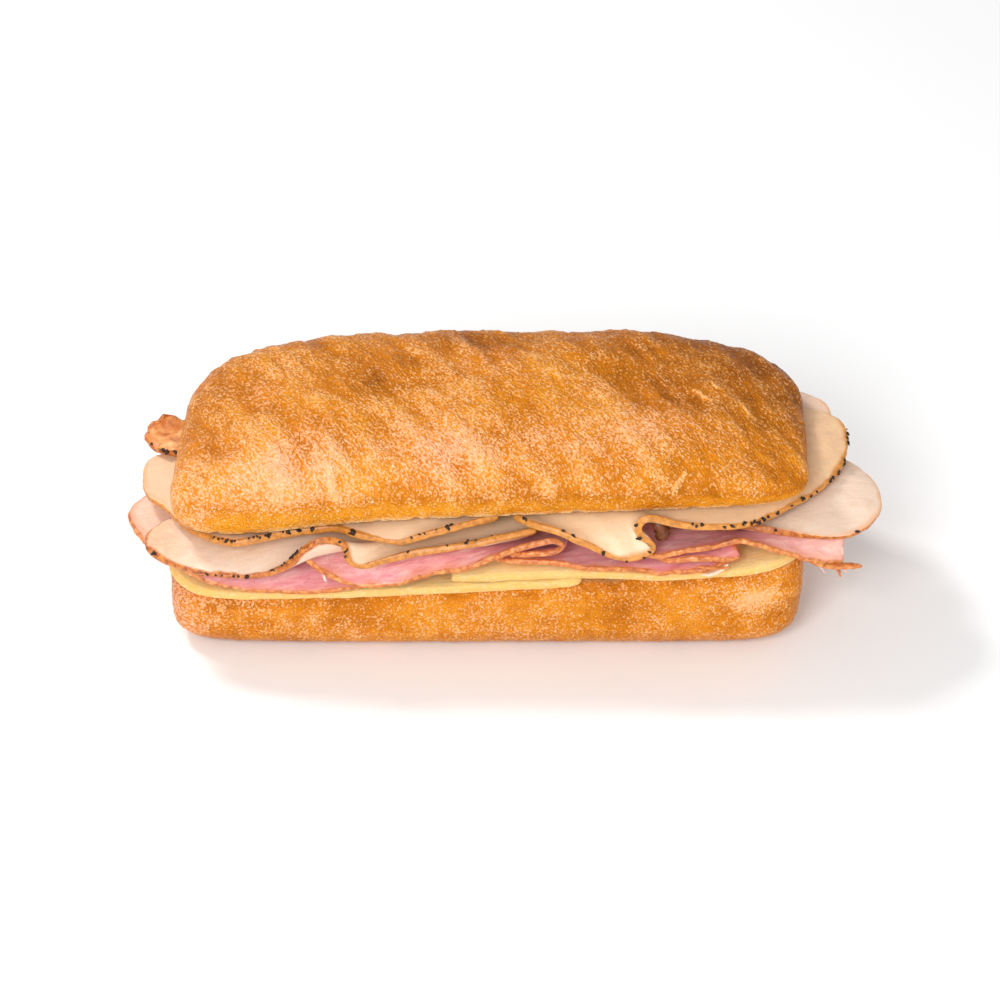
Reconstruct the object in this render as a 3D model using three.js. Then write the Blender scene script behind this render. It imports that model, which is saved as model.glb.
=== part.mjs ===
// Filled ciabatta sandwich: heel, two cheese slices, folded ham, wavy peppered turkey, crown.
// Millimetres. +X runs along the loaf, +Y to its back, +Z up. The origin is the middle of
// the heel's flat underside.

import * as THREE from 'three';

// ---------------------------------------------------------------- driving dimensions

const LOAF_LENGTH = 181;
const LOAF_DEPTH = 78;
const LOAF_HEIGHT = 67;

// Each cut through the loaf: height over the origin, rise along +X and +Y, bow along X.
const HEEL_CUT = { middle: 22.1, alongX: 0.065, alongY: -0.03, bow: 0.0002 };
const CROWN_CUT = { middle: 46.5, alongX: 0.05, alongY: -0.075, bow: 0 };

const CRUST_STEPS = 76;
const HEEL_EDGE_RADIUS = 10;
const HEEL_TUCK = 0.8;
const HEEL_RIGHT_SLANT = 2.5;
const CROWN_TUCK = 1.2;
const CROWN_END_DROP = 6.5;
const CROWN_WIDEST = 0.3;

// How much narrower each half of the crown is at the back than in front.
const CROWN_BACK_TAPER = { left: 0.06, right: 0.005 };

// The crown's cut edge hangs down along the front, and further at the left.
const LIP = { even: 0.6, x: -75, width: 27, drop: 4.3, from: -22 };

// Squareness of the loaf's corners seen from above, and of its shoulders seen from the end.
const FRONT_CORNERS = 10;
const BACK_CORNERS = 3.4;
const SHOULDERS = 2.7;

// Rings of the bread: shares of the way out from the spine, and degrees round each curve.
const CRUST_RINGS = {
  heelUnder: [0, 0.45],
  heelEdge: [22, 45, 66, 90],
  heelSide: [{ tuck: 0, share: 0.5 }, { tuck: HEEL_TUCK, share: 0.92 }, { tuck: HEEL_TUCK + 1, share: 1 }],
  heelCut: [0.5, 0],
  crownCut: [0, 0.6],
  crownLip: [
    { tuck: CROWN_TUCK + 0.8, rise: 0 }, { tuck: CROWN_TUCK, rise: 0.03 }, { tuck: 0.2, rise: 0.16 },
  ],
  crownDome: [0, 14, 27, 37, 45, 53, 62, 71, 81, 90],
};

// Waves: height, then lengths along X and Y and shifts in mm per radian.
const CRUST_WAVES = {
  slow: { height: 0.7, x: 17, y: 15, startX: 1.1, startY: -0.4 },
  fast: { height: 0.5, x: 8.5, y: -10 },
};
const STACK_WAVES = {
  slow: { height: 0.9, x: 13, y: 19, startX: 0.7, startY: 0 },
  fast: { height: 0.5, x: 7.5, y: -11 },
};

// Creases in the crown's crust: middle, turn of its line from +X in degrees, length, width, depth.
const CREASES = [
  { x: -52, y: -26, turn: 108, length: 17, width: 4.5, depth: 1.3 },
  { x: -35, y: 5, turn: 128, length: 26, width: 5, depth: 1.2 },
  { x: -28, y: -22, turn: 116, length: 22, width: 4.5, depth: 1 },
  { x: -20, y: 2, turn: 178, length: 20, width: 4, depth: 0.8 },
  { x: -76, y: -22, turn: 15, length: 16, width: 4.5, depth: 0.9 },
  { x: 29, y: 9, turn: 148, length: 24, width: 5, depth: 1.1 },
  { x: 54, y: -2, turn: 134, length: 24, width: 5, depth: 1.2 },
  { x: 10, y: -16, turn: 112, length: 22, width: 5, depth: 0.8 },
  { x: 54, y: -36, turn: 60, length: 9, width: 4, depth: 0.8 },
  { x: -4, y: 26, turn: 165, length: 30, width: 6, depth: 0.9 },
];

// A ridge runs beside each crease: its height as a share of the depth, its distance in widths.
const CREASE_RIDGE = { height: 0.7, beside: 1.6 };

const THICKNESS = { cheese: 2.8, ham: 1.8, turkey: 2.1 };

// The slices' layers bulge upwards over this depth, most between the two cuts.
const STACK_BULGE = { height: 2.2, depth: LOAF_DEPTH + 6, power: 1.2 };

// A slice hangs free for this far behind its front edge, then lies flat between the others.
const DRAPE = 17;
const SLICE_ROWS = [0, 0.055, 0.12, 0.2, 0.38, 0.68, 1];
const SLICE_END_WIDTH = 3;

// Points closer than this are one.
const JOIN = 0.0005;

const FINISH = {
  crust: { color: '#c8893f', roughness: 0.62 },
  cheese: { color: '#f0d68c', roughness: 0.42 },
  ham: { color: '#dc9a92', roughness: 0.38 },
  turkey: { color: '#e8cba6', roughness: 0.45 },
};

// ---------------------------------------------------------------- slices, front edge first

// rim: the lower front edge from left to right, [x, y, z] and, where it differs, the level.
// A rim point with no height lies flat at the slice's level.
// back: the hidden outline behind it, also from left to right.
// level: where the flat part lies between the heel's cut, 0, and the crown's cut, 1.
// pleat: first and last rim points of a fold that dies out behind the edge.
// settle: how far behind the edge its own level starts and ends turning into the slice's level.
const SLICES = [
  {
    name: 'cheese_left', kind: 'cheese', level: 0.075, columns: 15,
    rim: [
      [-90, -26, 21.3], [-86.6, -33, 21], [-81, -37.6, 20.7], [-73, -39.4, 20.7], [-47, -39.8, 21],
      [-20, -39.8, 22.3], [7, -39.8, 24], [23, -39.8, 25.2], [26.4, -38.4, 25.4],
    ],
    back: [[-88, 24], [-40, 35], [10, 34], [24, 24]],
  },
  {
    name: 'cheese_right', kind: 'cheese', level: 0.2325, columns: 18,
    rim: [
      [-10.4, -39, 26], [0, -40, 27], [15, -40, 28], [27, -40, 28.3], [38, -40, 27.8, 0.16],
      [48, -40, 27.5, 0.08], [62, -40, 28.5, 0.08], [74.5, -39.4, 29.4, 0.08],
      [84, -36, 30.2, 0.08], [90, -30, 30.7, 0.08],
    ],
    back: [[-9, 20], [10, 34], [60, 34], [84, 22], [89, 0]],
  },
  {
    name: 'ham_left', kind: 'ham', level: 0.25, columns: 28, settle: [14, 40],
    rim: [
      [-50, 38], [-68, 36], [-82, 28], [-89, 14], [-92, -1, 30.2, 0.44],
      [-99, -6.6, 30.4, 0.44], [-102.3, -13, 30.6, 0.44],
      [-101.6, -19.5, 30.6, 0.43], [-98.6, -25.5, 30.6, 0.42], [-93, -31.5, 30.2, 0.39],
      [-87, -36.5, 29, 0.36], [-79, -40.5, 26.8, 0.33], [-69, -42, 25, 0.3],
      [-58, -42.4, 24.4, 0.28], [-46, -42.4, 24.6, 0.26], [-35, -41, 25.2, 0.25],
    ],
    back: [[-36, 30], [-32, -10]],
  },
  {
    name: 'ham_right', kind: 'ham', level: 0.33, columns: 20,
    rim: [
      [2, -38, 32.6], [10.5, -41, 34.4], [18, -41.4, 34.2], [26, -42, 33], [35, -42.4, 32.6, 0.3],
      [44, -42.4, 31.4, 0.26], [53, -42.4, 31.4, 0.24], [61, -42, 32.2, 0.24], [67, -40, 33.4, 0.24],
    ],
    back: [[2, -8], [10, 34], [36, 37.5], [62, 30], [69, -12]],
  },
  {
    name: 'ham_folded', kind: 'ham', level: 0.505, columns: 34,
    rim: [
      [-56, -36, 32.4], [-50, -40, 33.5], [-47, -42, 32.2], [-41, -43, 28.8], [-35, -43.2, 27],
      [-29, -43.4, 27], [-23, -43.6, 28.6], [-16, -44, 31.8], [-8, -44, 33.6], [0, -44, 37.2],
      [8, -44, 41.8], [14.5, -44, 44.4], [18.6, -43.6, 44.6], [20.8, -43.4, 42.5, 0.46],
      [19, -43.2, 40.2, 0.425], [13, -43, 39, 0.42], [6, -41.5, 37.2, 0.42],
    ],
    back: [[-54, 10], [-30, 40], [6, 39.5], [23, -20], [17, -31], [8, -32]],
  },
  {
    name: 'ham_torn', kind: 'ham', level: 0.375, columns: 22,
    rim: [
      [39, -40, 37, 0.42], [47, -43.4, 38.2, 0.42], [56, -43, 40, 0.4], [63, -42.4, 41.3, 0.385],
      [70.6, -42, 43.2],
      [75, -42, 41.6], [80, -41.8, 39], [86, -41, 36], [92, -40, 33.2], [99.4, -37.4, 30.8],
    ],
    back: [[38, -12], [50, 30], [74, 36], [93, 16], [98.8, -14], [99.8, -30]],
  },
  {
    name: 'turkey_low_right', kind: 'turkey', level: 0.49, columns: 22,
    rim: [
      [60, -30], [68, -33.6, 42.4], [76, -35, 42], [84, -36, 40.9], [92, -36.4, 39.6],
      [101, -35.8, 39.2], [107.6, -30.6, 39.2], [111.1, -24, 39.4], [111, -17, 39.8],
      [107.8, -10, 40.6], [102.6, -5, 41.8], [94, -3], [88, 1], [82, 9],
      [75, 19], [62, 27], [52, 22],
    ],
    back: [[57, -16]],
  },
  {
    name: 'turkey_front_left', kind: 'turkey', level: 0.62, columns: 50, settle: [14, 40],
    rim: [
      [-46, 40], [-68, 36], [-83, 26], [-90, 8], [-88, -10], [-87, -19, 34.6, 0.575],
      [-93, -24.4, 34.8, 0.575], [-96.8, -29.4, 34.4, 0.575],
      [-95.4, -35, 33.2, 0.575], [-88, -40, 31.9, 0.575], [-80, -42.6, 31.3, 0.58],
      [-71, -44, 31, 0.59], [-64, -44.2, 31.9, 0.6], [-59, -44.2, 34, 0.61],
      [-55, -44.2, 37.6], [-51.6, -44, 41.8], [-48.4, -43.8, 44.2], [-44.6, -43.6, 45], [-41.4, -43.6, 43.6],
      [-40.4, -44, 40.2], [-39.4, -44.2, 36.6], [-36.6, -44.4, 34.9], [-31, -44, 36.4],
      [-21, -43.6, 39.6], [-8, -43, 42], [4, -41.6, 44.2], [13.6, -39.6, 44.6],
    ],
    back: [[-26, 32], [12, 30], [16, -10]],
  },
  {
    name: 'turkey_low_back', kind: 'turkey', level: 0.73, columns: 14,
    rim: [
      [44, -22], [66, -18], [82, -4], [92, 5, 44.2], [98.6, 14, 44], [97, 19.6, 44],
      [92.4, 24, 43.6], [82, 29],
    ],
    back: [[30, 4], [34, 27], [62, 26]],
  },
  {
    name: 'turkey_top_left', kind: 'turkey', level: 0.875, columns: 42, settle: [24, 55],
    rim: [
      [-58, 38], [-72, 35], [-84, 24], [-92, 7.6, 35.4, 0.735], [-97.4, 3, 36, 0.735],
      [-98.6, -4, 36.5, 0.73], [-98, -11, 37, 0.725], [-96, -16.4, 37.4, 0.73],
      [-92, -20.4, 37.6, 0.735],
      [-86, -30, 38.4, 0.745], [-79, -37.4, 40.2, 0.755], [-72, -41.2, 41, 0.77],
      [-65, -40.4, 41.8, 0.79], [-57, -37.7, 41.7, 0.81], [-49, -37.3, 42.7, 0.84],
      [-43, -37.7, 43.5, 0.865],
      [-37.5, -40.8, 43.8], [-31, -42, 42.8], [-25, -42.4, 42.2], [-16, -41.8, 44.8],
      [-9, -40.4, 46.2], [-3, -38.4, 46.5], [3, -36, 46.5],
    ],
    back: [[-40, 31], [-12, 34], [4, 8]],
  },
  {
    name: 'turkey_curled_left', kind: 'turkey', level: 0.895, columns: 20, drape: 8,
    rim: [
      [-82, 15], [-87, 16, 38.9], [-90.6, 16, 40.9], [-93.4, 15.4, 44.4], [-96.2, 13.8, 44.6],
      [-98.4, 12.8, 43], [-98.8, 10.4, 40.6], [-97, 6.6, 39], [-93.6, 3, 38.8], [-88, 0.6, 39.6],
      [-82, -1.6], [-76, -3],
    ],
    back: [[-77, 12], [-72, 3]],
  },
  {
    name: 'turkey_top_right', kind: 'turkey', level: 0.875, columns: 56, pleat: [8, 17],
    rim: [
      [7, -36.6, 47], [13, -41, 47.6], [19, -43.4, 47.2], [24, -45, 45.6], [28.6, -45.8, 43.4],
      [32.4, -46, 40.9], [36.6, -46.2, 39], [41, -46.2, 38.9], [45, -45.4, 40.1],
      [46.8, -44.8, 41.8], [45.4, -44.4, 43.4], [43, -44, 45.2], [41.8, -43.6, 47.8],
      [42.4, -43, 50.2], [44.6, -42.6, 51.4], [47.4, -42.6, 51.1], [51, -42.8, 50], [56, -42.6, 48.6],
      [62, -42.4, 47.6], [70, -41, 46.8], [78, -36.6, 46], [88, -28.6, 45.8], [95.4, -21, 45.7],
      [100, -12.6, 45.6], [102.4, -3, 45.8], [101.4, 7, 46], [97, 12, 46.2], [88, 15, 47],
      [80, 27], [68, 35], [40, 38],
    ],
    back: [[12, 6], [24, 22]],
  },
];

// ---------------------------------------------------------------- small helpers

const lerp = THREE.MathUtils.lerp;

function cutHeight(cut, x, y) {
  return cut.middle + cut.alongX * x + cut.alongY * y + cut.bow * x * x;
}

/** Smooth bump of height 1 round zero. */
function bell(value) {
  return Math.exp(-value * value);
}

/** A slow and a fast wave over the plan. */
function waves({ slow, fast }, x, y) {
  return (
    slow.height * Math.sin(x / slow.x + slow.startX) * Math.cos(y / slow.y + slow.startY) +
    fast.height * Math.sin(x / fast.x + y / fast.y)
  );
}

/** The stack bulges along its middle and waves a little, but not at either cut. */
function stackWave(x, y, level) {
  const bulge = STACK_BULGE.height * Math.cos((Math.PI * y) / STACK_BULGE.depth);
  return (bulge + waves(STACK_WAVES, x, y)) * Math.sin(Math.PI * level ** STACK_BULGE.power);
}

/** Height of the stack's layer at this level. */
function layerHeight(x, y, level) {
  const low = cutHeight(HEEL_CUT, x, y);
  const high = cutHeight(CROWN_CUT, x, y);
  return lerp(low, high, level) + stackWave(x, y, level);
}

/** A named mesh from points and triangles, with coincident points joined and thin faces dropped. */
function solid(name, kind, points, triangles) {
  const index = new Map();
  const position = [];
  const joined = points.map((p) => {
    const key = p.map((v) => Math.round(v / JOIN)).join();
    if (!index.has(key)) {
      index.set(key, position.length / 3);
      position.push(...p);
    }
    return index.get(key);
  });
  const faces = triangles
    .map((t) => t.map((i) => joined[i]))
    .filter(([a, b, c]) => a !== b && b !== c && c !== a);
  const geometry = new THREE.BufferGeometry();
  geometry.setAttribute('position', new THREE.Float32BufferAttribute(position, 3));
  geometry.setIndex(faces.flat());
  geometry.computeVertexNormals();
  const { color, roughness } = FINISH[kind];
  const mesh = new THREE.Mesh(
    geometry,
    new THREE.MeshStandardMaterial({ color, roughness, metalness: 0 }),
  );
  mesh.name = name;
  return mesh;
}

function quad(a, b, c, d) {
  return [[a, b, c], [a, c, d]];
}

// ---------------------------------------------------------------- bread

const HALF_LENGTH = LOAF_LENGTH / 2;
const HALF_DEPTH = LOAF_DEPTH / 2;
const HALF_SPINE = HALF_LENGTH - HALF_DEPTH;

/** Even steps round a box of the loaf's size, alike in all four quarters. */
function boxPoint(step) {
  const turn = (4 * step) / CRUST_STEPS;
  const quarter = Math.floor(turn);
  const along = (turn - quarter) * (HALF_LENGTH + HALF_DEPTH);
  const rise = quarter % 2 ? HALF_LENGTH + HALF_DEPTH - along : along;
  const x = rise < HALF_DEPTH ? HALF_LENGTH : HALF_LENGTH - (rise - HALF_DEPTH);
  const y = Math.min(rise, HALF_DEPTH);
  return [quarter === 1 || quarter === 2 ? -x : x, quarter >= 2 ? -y : y];
}

/** The loaf's outline in the direction of a box point: square in front, rounder at the back. */
function outlinePoint([boxX, boxY]) {
  const corners = boxY < 0 ? FRONT_CORNERS : BACK_CORNERS;
  const right = Math.abs(boxX / HALF_LENGTH);
  const far = Math.abs(boxY / HALF_DEPTH);
  const reach = (right ** corners + far ** corners) ** (-1 / corners);
  return [boxX * reach, boxY * reach];
}

/** Rings of points, each a share of the way from the loaf's spine to its outline. */
function breadSolid(name, rings, shape) {
  const points = [];
  for (const ring of rings) {
    for (let step = 0; step < CRUST_STEPS; step += 1) {
      const box = boxPoint(step);
      const [outX, outY] = outlinePoint(box);
      const spineX = (HALF_SPINE * box[0]) / HALF_LENGTH;
      const x = lerp(spineX, outX, ring.reach);
      points.push(shape(x, outY * ring.reach, ring));
    }
  }
  const triangles = [];
  for (let r = 0; r + 1 < rings.length; r += 1) {
    for (let step = 0; step < CRUST_STEPS; step += 1) {
      const next = (step + 1) % CRUST_STEPS;
      const low = r * CRUST_STEPS;
      const high = low + CRUST_STEPS;
      triangles.push(...quad(low + step, low + next, high + next, high + step));
    }
  }
  return solid(name, 'crust', points, triangles);
}

/** Bottom crust: flat underside, round lower edge, right end slanting in, sloping cut on top. */
function heel() {
  const inset = HEEL_EDGE_RADIUS / HALF_DEPTH;
  const rings = [...CRUST_RINGS.heelUnder, 1 - inset].map((reach) => ({ reach, lift: 0 }));
  for (const degrees of CRUST_RINGS.heelEdge) {
    const angle = THREE.MathUtils.degToRad(degrees);
    rings.push({
      reach: 1 - inset * (1 - Math.sin(angle)),
      lift: HEEL_EDGE_RADIUS * (1 - Math.cos(angle)),
    });
  }
  for (const { tuck, share } of CRUST_RINGS.heelSide) {
    rings.push({ reach: 1 - tuck / HALF_DEPTH, share });
  }
  rings.push(...CRUST_RINGS.heelCut.map((reach) => ({ reach, share: 1 })));
  return breadSolid('heel', rings, (x, y, { lift, share }) => {
    const top = cutHeight(HEEL_CUT, x, y);
    const z = lift ?? lerp(HEEL_EDGE_RADIUS, top, share);
    const slant = HEEL_RIGHT_SLANT * (1 - z / top) * Math.max(0, x / HALF_LENGTH) ** 4;
    return [x - slant, y, z];
  });
}

/** Slow unevenness and creases of the crown's crust, in mm along its dome. */
function crustRelief(x, y) {
  let relief = waves(CRUST_WAVES, x, y);
  for (const crease of CREASES) {
    const turn = THREE.MathUtils.degToRad(crease.turn);
    const run = (x - crease.x) * Math.cos(turn) + (y - crease.y) * Math.sin(turn);
    const off = (y - crease.y) * Math.cos(turn) - (x - crease.x) * Math.sin(turn);
    const fade = bell((2 * run) / crease.length);
    const ridge = CREASE_RIDGE.height * bell(off / crease.width + CREASE_RIDGE.beside);
    relief += crease.depth * fade * (ridge - bell(off / crease.width));
  }
  return relief;
}

/** Top crust: a sloping cut below with a hanging front lip, full sides and a broad lumpy dome. */
function crown() {
  const rings = CRUST_RINGS.crownCut.map((reach) => ({ reach, rise: 0 }));
  for (const { tuck, rise } of CRUST_RINGS.crownLip) {
    rings.push({ reach: 1 - tuck / HALF_DEPTH, rise });
  }
  for (const degrees of CRUST_RINGS.crownDome) {
    const angle = THREE.MathUtils.degToRad(degrees);
    const cos = Math.max(0, Math.cos(angle));
    const sin = Math.sin(angle);
    const round = (cos ** SHOULDERS + sin ** SHOULDERS) ** (-1 / SHOULDERS);
    const reach = degrees === 90 ? 0 : cos * round;
    rings.push({ reach, rise: lerp(CROWN_WIDEST, 1, sin * round) });
  }
  return breadSolid('crown', rings, (x, y, { rise }) => {
    const forward = Math.max(0, (y - LIP.from) / (-HALF_DEPTH - LIP.from)) ** 2;
    const lip = forward * (LIP.even + LIP.drop * bell((x - LIP.x) / LIP.width));
    const bottom = cutHeight(CROWN_CUT, x, y) - lip * (1 - rise);
    const top = LOAF_HEIGHT - CROWN_END_DROP * (x / HALF_LENGTH) ** 4;
    const taper = x < 0 ? CROWN_BACK_TAPER.left : CROWN_BACK_TAPER.right;
    const backward = (y + HALF_DEPTH) / LOAF_DEPTH;
    const z = lerp(bottom, top, rise) + crustRelief(x, y) * rise ** 2;
    return [x * (1 - taper * backward), y, z];
  });
}

// ---------------------------------------------------------------- slices

function curveThrough(points) {
  return new THREE.CatmullRomCurve3(points, false, 'centripetal');
}

/** Value at a share of the way through a list, straight between its entries. */
function along(list, share) {
  const place = share * (list.length - 1);
  const first = Math.min(Math.floor(place), list.length - 2);
  return lerp(list[first], list[first + 1], place - first);
}

/** The rim's points laid flat, with any pleat drawn straight. */
function flatRim(rim, pleat) {
  return rim.map((point, i) => {
    if (!pleat || i <= pleat[0] || i >= pleat[1]) return point.clone().setZ(0);
    const share = (i - pleat[0]) / (pleat[1] - pleat[0]);
    return rim[pleat[0]].clone().lerp(rim[pleat[1]], share).setZ(0);
  });
}

/** The hidden outline, which starts and ends a little way in from the rim's two ends. */
function backCurve(flat, back) {
  const hidden = back.map(([x, y]) => new THREE.Vector3(x, y, 0));
  const near = (end, next) => end.clone().add(next.clone().sub(end).setLength(SLICE_END_WIDTH));
  return curveThrough([
    near(flat[0], hidden[0]),
    ...hidden,
    near(flat.at(-1), hidden.at(-1)),
  ]);
}

/** Middle surface of a slice: columns from the rim to the back edge. */
function sliceColumns(slice, thickness) {
  const { rim, back, level, columns, pleat, drape = DRAPE, settle } = slice;
  const levels = rim.map((point) => point[3] ?? level);
  const edge = rim.map(([x, y, z], i) => {
    const middle = z === undefined ? layerHeight(x, y, levels[i]) : z + thickness / 2;
    return new THREE.Vector3(x, y, middle);
  });
  const flat = flatRim(edge, pleat);
  const edgeCurve = curveThrough(edge);
  const flatCurve = curveThrough(flat);
  const hidden = backCurve(flat, back);
  const starts = Array.from({ length: columns + 1 }, (_, i) => flatCurve.getPoint(i / columns));
  const reached = [0];
  for (let i = 1; i <= columns; i += 1) {
    reached.push(reached[i - 1] + starts[i].distanceTo(starts[i - 1]));
  }
  return starts.map((start, i) => {
    const share = i / columns;
    const own = along(levels, share);
    const end = hidden.getPointAt(reached[i] / reached[columns]);
    const lift = edgeCurve.getPoint(share).sub(start);
    lift.z -= layerHeight(start.x, start.y, own);
    return SLICE_ROWS.map((row) => {
      const spot = start.clone().lerp(end, row);
      const behind = start.distanceTo(spot);
      const hang = Math.max(0, 1 - behind / drape) ** 2;
      const settled = settle ? THREE.MathUtils.smoothstep(behind, ...settle) : 0;
      spot.z = layerHeight(spot.x, spot.y, lerp(own, level, settled));
      return spot.addScaledVector(lift, hang);
    });
  });
}

/** Thin wavy solid: the middle surface moved half a thickness up and down, with both faces alike. */
function sliceSolid(slice) {
  const thickness = THICKNESS[slice.kind];
  const grid = sliceColumns(slice, thickness);
  const rows = SLICE_ROWS.length;
  const last = grid.length - 1;
  const points = [];
  for (const side of [1, -1]) {
    grid.forEach((column, i) => column.forEach((point, j) => {
      const across = grid[Math.min(i + 1, last)][j].clone().sub(grid[Math.max(i - 1, 0)][j]);
      const inward = column[Math.min(j + 1, rows - 1)].clone().sub(column[Math.max(j - 1, 0)]);
      const normal = across.cross(inward).normalize();
      points.push(point.clone().addScaledVector(normal, (side * thickness) / 2).toArray());
    }));
  }
  const top = (i, j) => i * rows + j;
  const under = (i, j) => (last + 1 + i) * rows + j;
  const triangles = [];
  for (let i = 0; i < last; i += 1) {
    for (let j = 0; j + 1 < rows; j += 1) {
      triangles.push(...quad(top(i, j), top(i + 1, j), top(i + 1, j + 1), top(i, j + 1)));
      triangles.push(...quad(under(i, j), under(i + 1, j), under(i + 1, j + 1), under(i, j + 1))
        .map(([a, b, c]) => [a, c, b]));
    }
    triangles.push(...quad(under(i, 0), under(i + 1, 0), top(i + 1, 0), top(i, 0)));
    const end = rows - 1;
    triangles.push(...quad(top(i, end), top(i + 1, end), under(i + 1, end), under(i, end)));
  }
  for (let j = 0; j + 1 < rows; j += 1) {
    triangles.push(...quad(under(0, j + 1), under(0, j), top(0, j), top(0, j + 1)));
    triangles.push(...quad(under(last, j), under(last, j + 1), top(last, j + 1), top(last, j)));
  }
  return solid(slice.name, slice.kind, points, triangles);
}

// ---------------------------------------------------------------- the sandwich

const sandwich = new THREE.Group();
sandwich.add(heel(), ...SLICES.map(sliceSolid), crown());

export default sandwich;
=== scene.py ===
"""A filled ciabatta sandwich: blistered crust, cheese, folded ham and peppered turkey.

Shapes are worked out in millimetres in the CAD's frame, +X along the loaf, +Y to its back and
+Z up, and become metres when a mesh is made.
"""
from math import cos, radians, sin

import bmesh
import bpy
import numpy as np
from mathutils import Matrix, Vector


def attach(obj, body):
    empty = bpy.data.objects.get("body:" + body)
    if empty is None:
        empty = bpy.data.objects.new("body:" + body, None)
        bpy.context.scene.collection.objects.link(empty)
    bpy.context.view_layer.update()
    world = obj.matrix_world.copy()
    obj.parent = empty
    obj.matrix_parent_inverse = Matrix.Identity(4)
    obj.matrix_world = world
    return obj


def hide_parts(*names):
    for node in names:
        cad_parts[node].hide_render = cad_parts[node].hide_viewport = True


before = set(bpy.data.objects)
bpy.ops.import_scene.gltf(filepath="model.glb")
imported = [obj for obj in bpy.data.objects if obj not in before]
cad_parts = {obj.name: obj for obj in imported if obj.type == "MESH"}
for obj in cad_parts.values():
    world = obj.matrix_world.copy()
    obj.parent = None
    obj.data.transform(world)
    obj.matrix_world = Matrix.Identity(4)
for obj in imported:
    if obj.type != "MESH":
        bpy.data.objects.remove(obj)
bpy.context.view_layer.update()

MM = 0.001
# Points of the bread or of a slice that are closer than this, in metres, are joined.
WELD_GAP = 1e-6

# ------------------------------------------------------------------ driving dimensions, in mm

LOAF_LENGTH = 181
LOAF_DEPTH = 78
LOAF_HEIGHT = 67
HALF_LENGTH = LOAF_LENGTH / 2
HALF_DEPTH = LOAF_DEPTH / 2
HALF_SPINE = HALF_LENGTH - HALF_DEPTH

# Each cut through the loaf: height over the origin, rise per mm along X and Y, bow along X.
HEEL_CUT = {"middle": 22.1, "along_x": 0.065, "along_y": -0.03, "bow": 0.0002}
CROWN_CUT = {"middle": 46.5, "along_x": 0.05, "along_y": -0.075, "bow": 0}

HEEL_EDGE_RADIUS = 10
HEEL_TUCK = 0.8
HEEL_RIGHT_SLANT = 2.5
CROWN_TUCK = 1.2
CROWN_END_DROP = 6.5
CROWN_WIDEST = 0.3
CROWN_BACK_TAPER = {"left": 0.06, "right": 0.005}
LIP = {"even": 0.6, "x": -75, "width": 27, "drop": 4.3, "from": -22}
FRONT_CORNERS = 10
BACK_CORNERS = 3.4
SHOULDERS = 2.7

# The crust's wrinkles and streaks run this way, in degrees from +X.
WRINKLE_TURN = -58
# Share of the crown's height where its smooth front band ends.
SHOULDER_LINE = 0.4
# Left of these x the speckled crust reaches down to the lower edge.
LIP_END = (-74, -86)
# Long wrinkles: drawn out this much along, across and upwards, mm across, mm deep.
WRINKLE_STRETCH = (3.2, 0.8, 1.4)
WRINKLE_SIZE = 7
WRINKLE_DEPTH = 0.62
# Mm across and mm high, or deep, of the crust's blisters and grain and the crumb's pores.
BLISTERS = (2.6, 0.16)
CRUST_GRAIN = (1.5, 0.14)
LARGE_PORES = (4.5, 0.9)
SMALL_PORES = (1.9, 0.35)
# How far each skin lies inside its solid, so that the wrinkles stay within it.
CROWN_SINK = 0.42
HEEL_SINK = 0.12
# Strength of the heel's wrinkles and blisters, where the crown's is 1.
HEEL_ROUGHNESS = 0.55
# Slow waves in mm: height, mm per radian and shift along X, the same along Y; then the height
# and the mm per radian along X and Y of a finer slanting wave.
CROWN_WAVES = (0.7, 17, 1.1, 15, -0.4), (0.5, 8.5, 10)
STACK_WAVES = (0.9, 13, 0.7, 19, 0), (0.5, 7.5, 11)

# Creases in the crown's crust: middle x and y, turn from +X in degrees, length, width, depth.
CREASES = [
    (-52, -26, 108, 17, 4.5, 1.3),
    (-35, 5, 128, 26, 5, 1.2),
    (-28, -22, 116, 22, 4.5, 1),
    (-20, 2, 178, 20, 4, 0.8),
    (-76, -22, 15, 16, 4.5, 0.9),
    (29, 9, 148, 24, 5, 1.1),
    (54, -2, 134, 24, 5, 1.2),
    (10, -16, 112, 22, 5, 0.8),
    (54, -36, 60, 9, 4, 0.8),
    (-4, 26, 165, 30, 6, 0.9),
]
# The ridge beside a crease: share of the crease's depth, and widths away from it.
CREASE_RIDGE = (0.7, 1.6)

# A small torn gap under the cheese in the heel's front edge.
NOTCH = {"x": 35, "width": 3, "height": 2, "depth": 1.4}

# Thin bright ridges: middle x and y, turn from +X in degrees, length, width.
RIDGES = [
    (60, -2.4, 142, 8, 0.7),
    (73, -6.6, 137, 8, 0.7),
    (-44, -35, 115, 10, 1.1),
    (53, -37, 70, 7, 0.7),
    (64, 2, 140, 5, 0.5),
]
RIDGE_HEIGHT = 0.5
# How far a ridge sways to its sides, and over how many mm per radian.
RIDGE_SWAY = (0.6, 1.3)

# Patches of peach flecks on the crown: middle x and y, half length, half width, strength.
PEACH_PATCHES = [(-66, -31, 22, 12, 1), (-14, -28, 30, 10, 1), (36, -24, 20, 9, 0.5)]
# A pale patch on the heel's front, near its right end.
HEEL_PATCH = {"x": 77, "z": 20, "width": 7, "height": 4}

# Pepper on each turkey slice's front edge: from x, to x, number of grains.
PEPPER = {
    "turkey_front_left": [(-97, -84, 4), (-80, -66, 7), (-62, -52, 12), (-44, -40, 4), (-30, 2, 6)],
    "turkey_top_left": [(-77, -70, 9), (-68, -60, 8), (-58, -48, 4), (-40, -30, 3), (-22, -10, 6)],
    "turkey_top_right": [
        (8, 14, 2), (18, 34, 4), (38, 46, 5), (50, 60, 3), (62, 80, 14), (80, 104, 22),
    ],
    "turkey_low_right": [(78, 90, 4), (94, 104, 2)],
    "turkey_curled_left": [(-98, -84, 6)],
}
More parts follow.
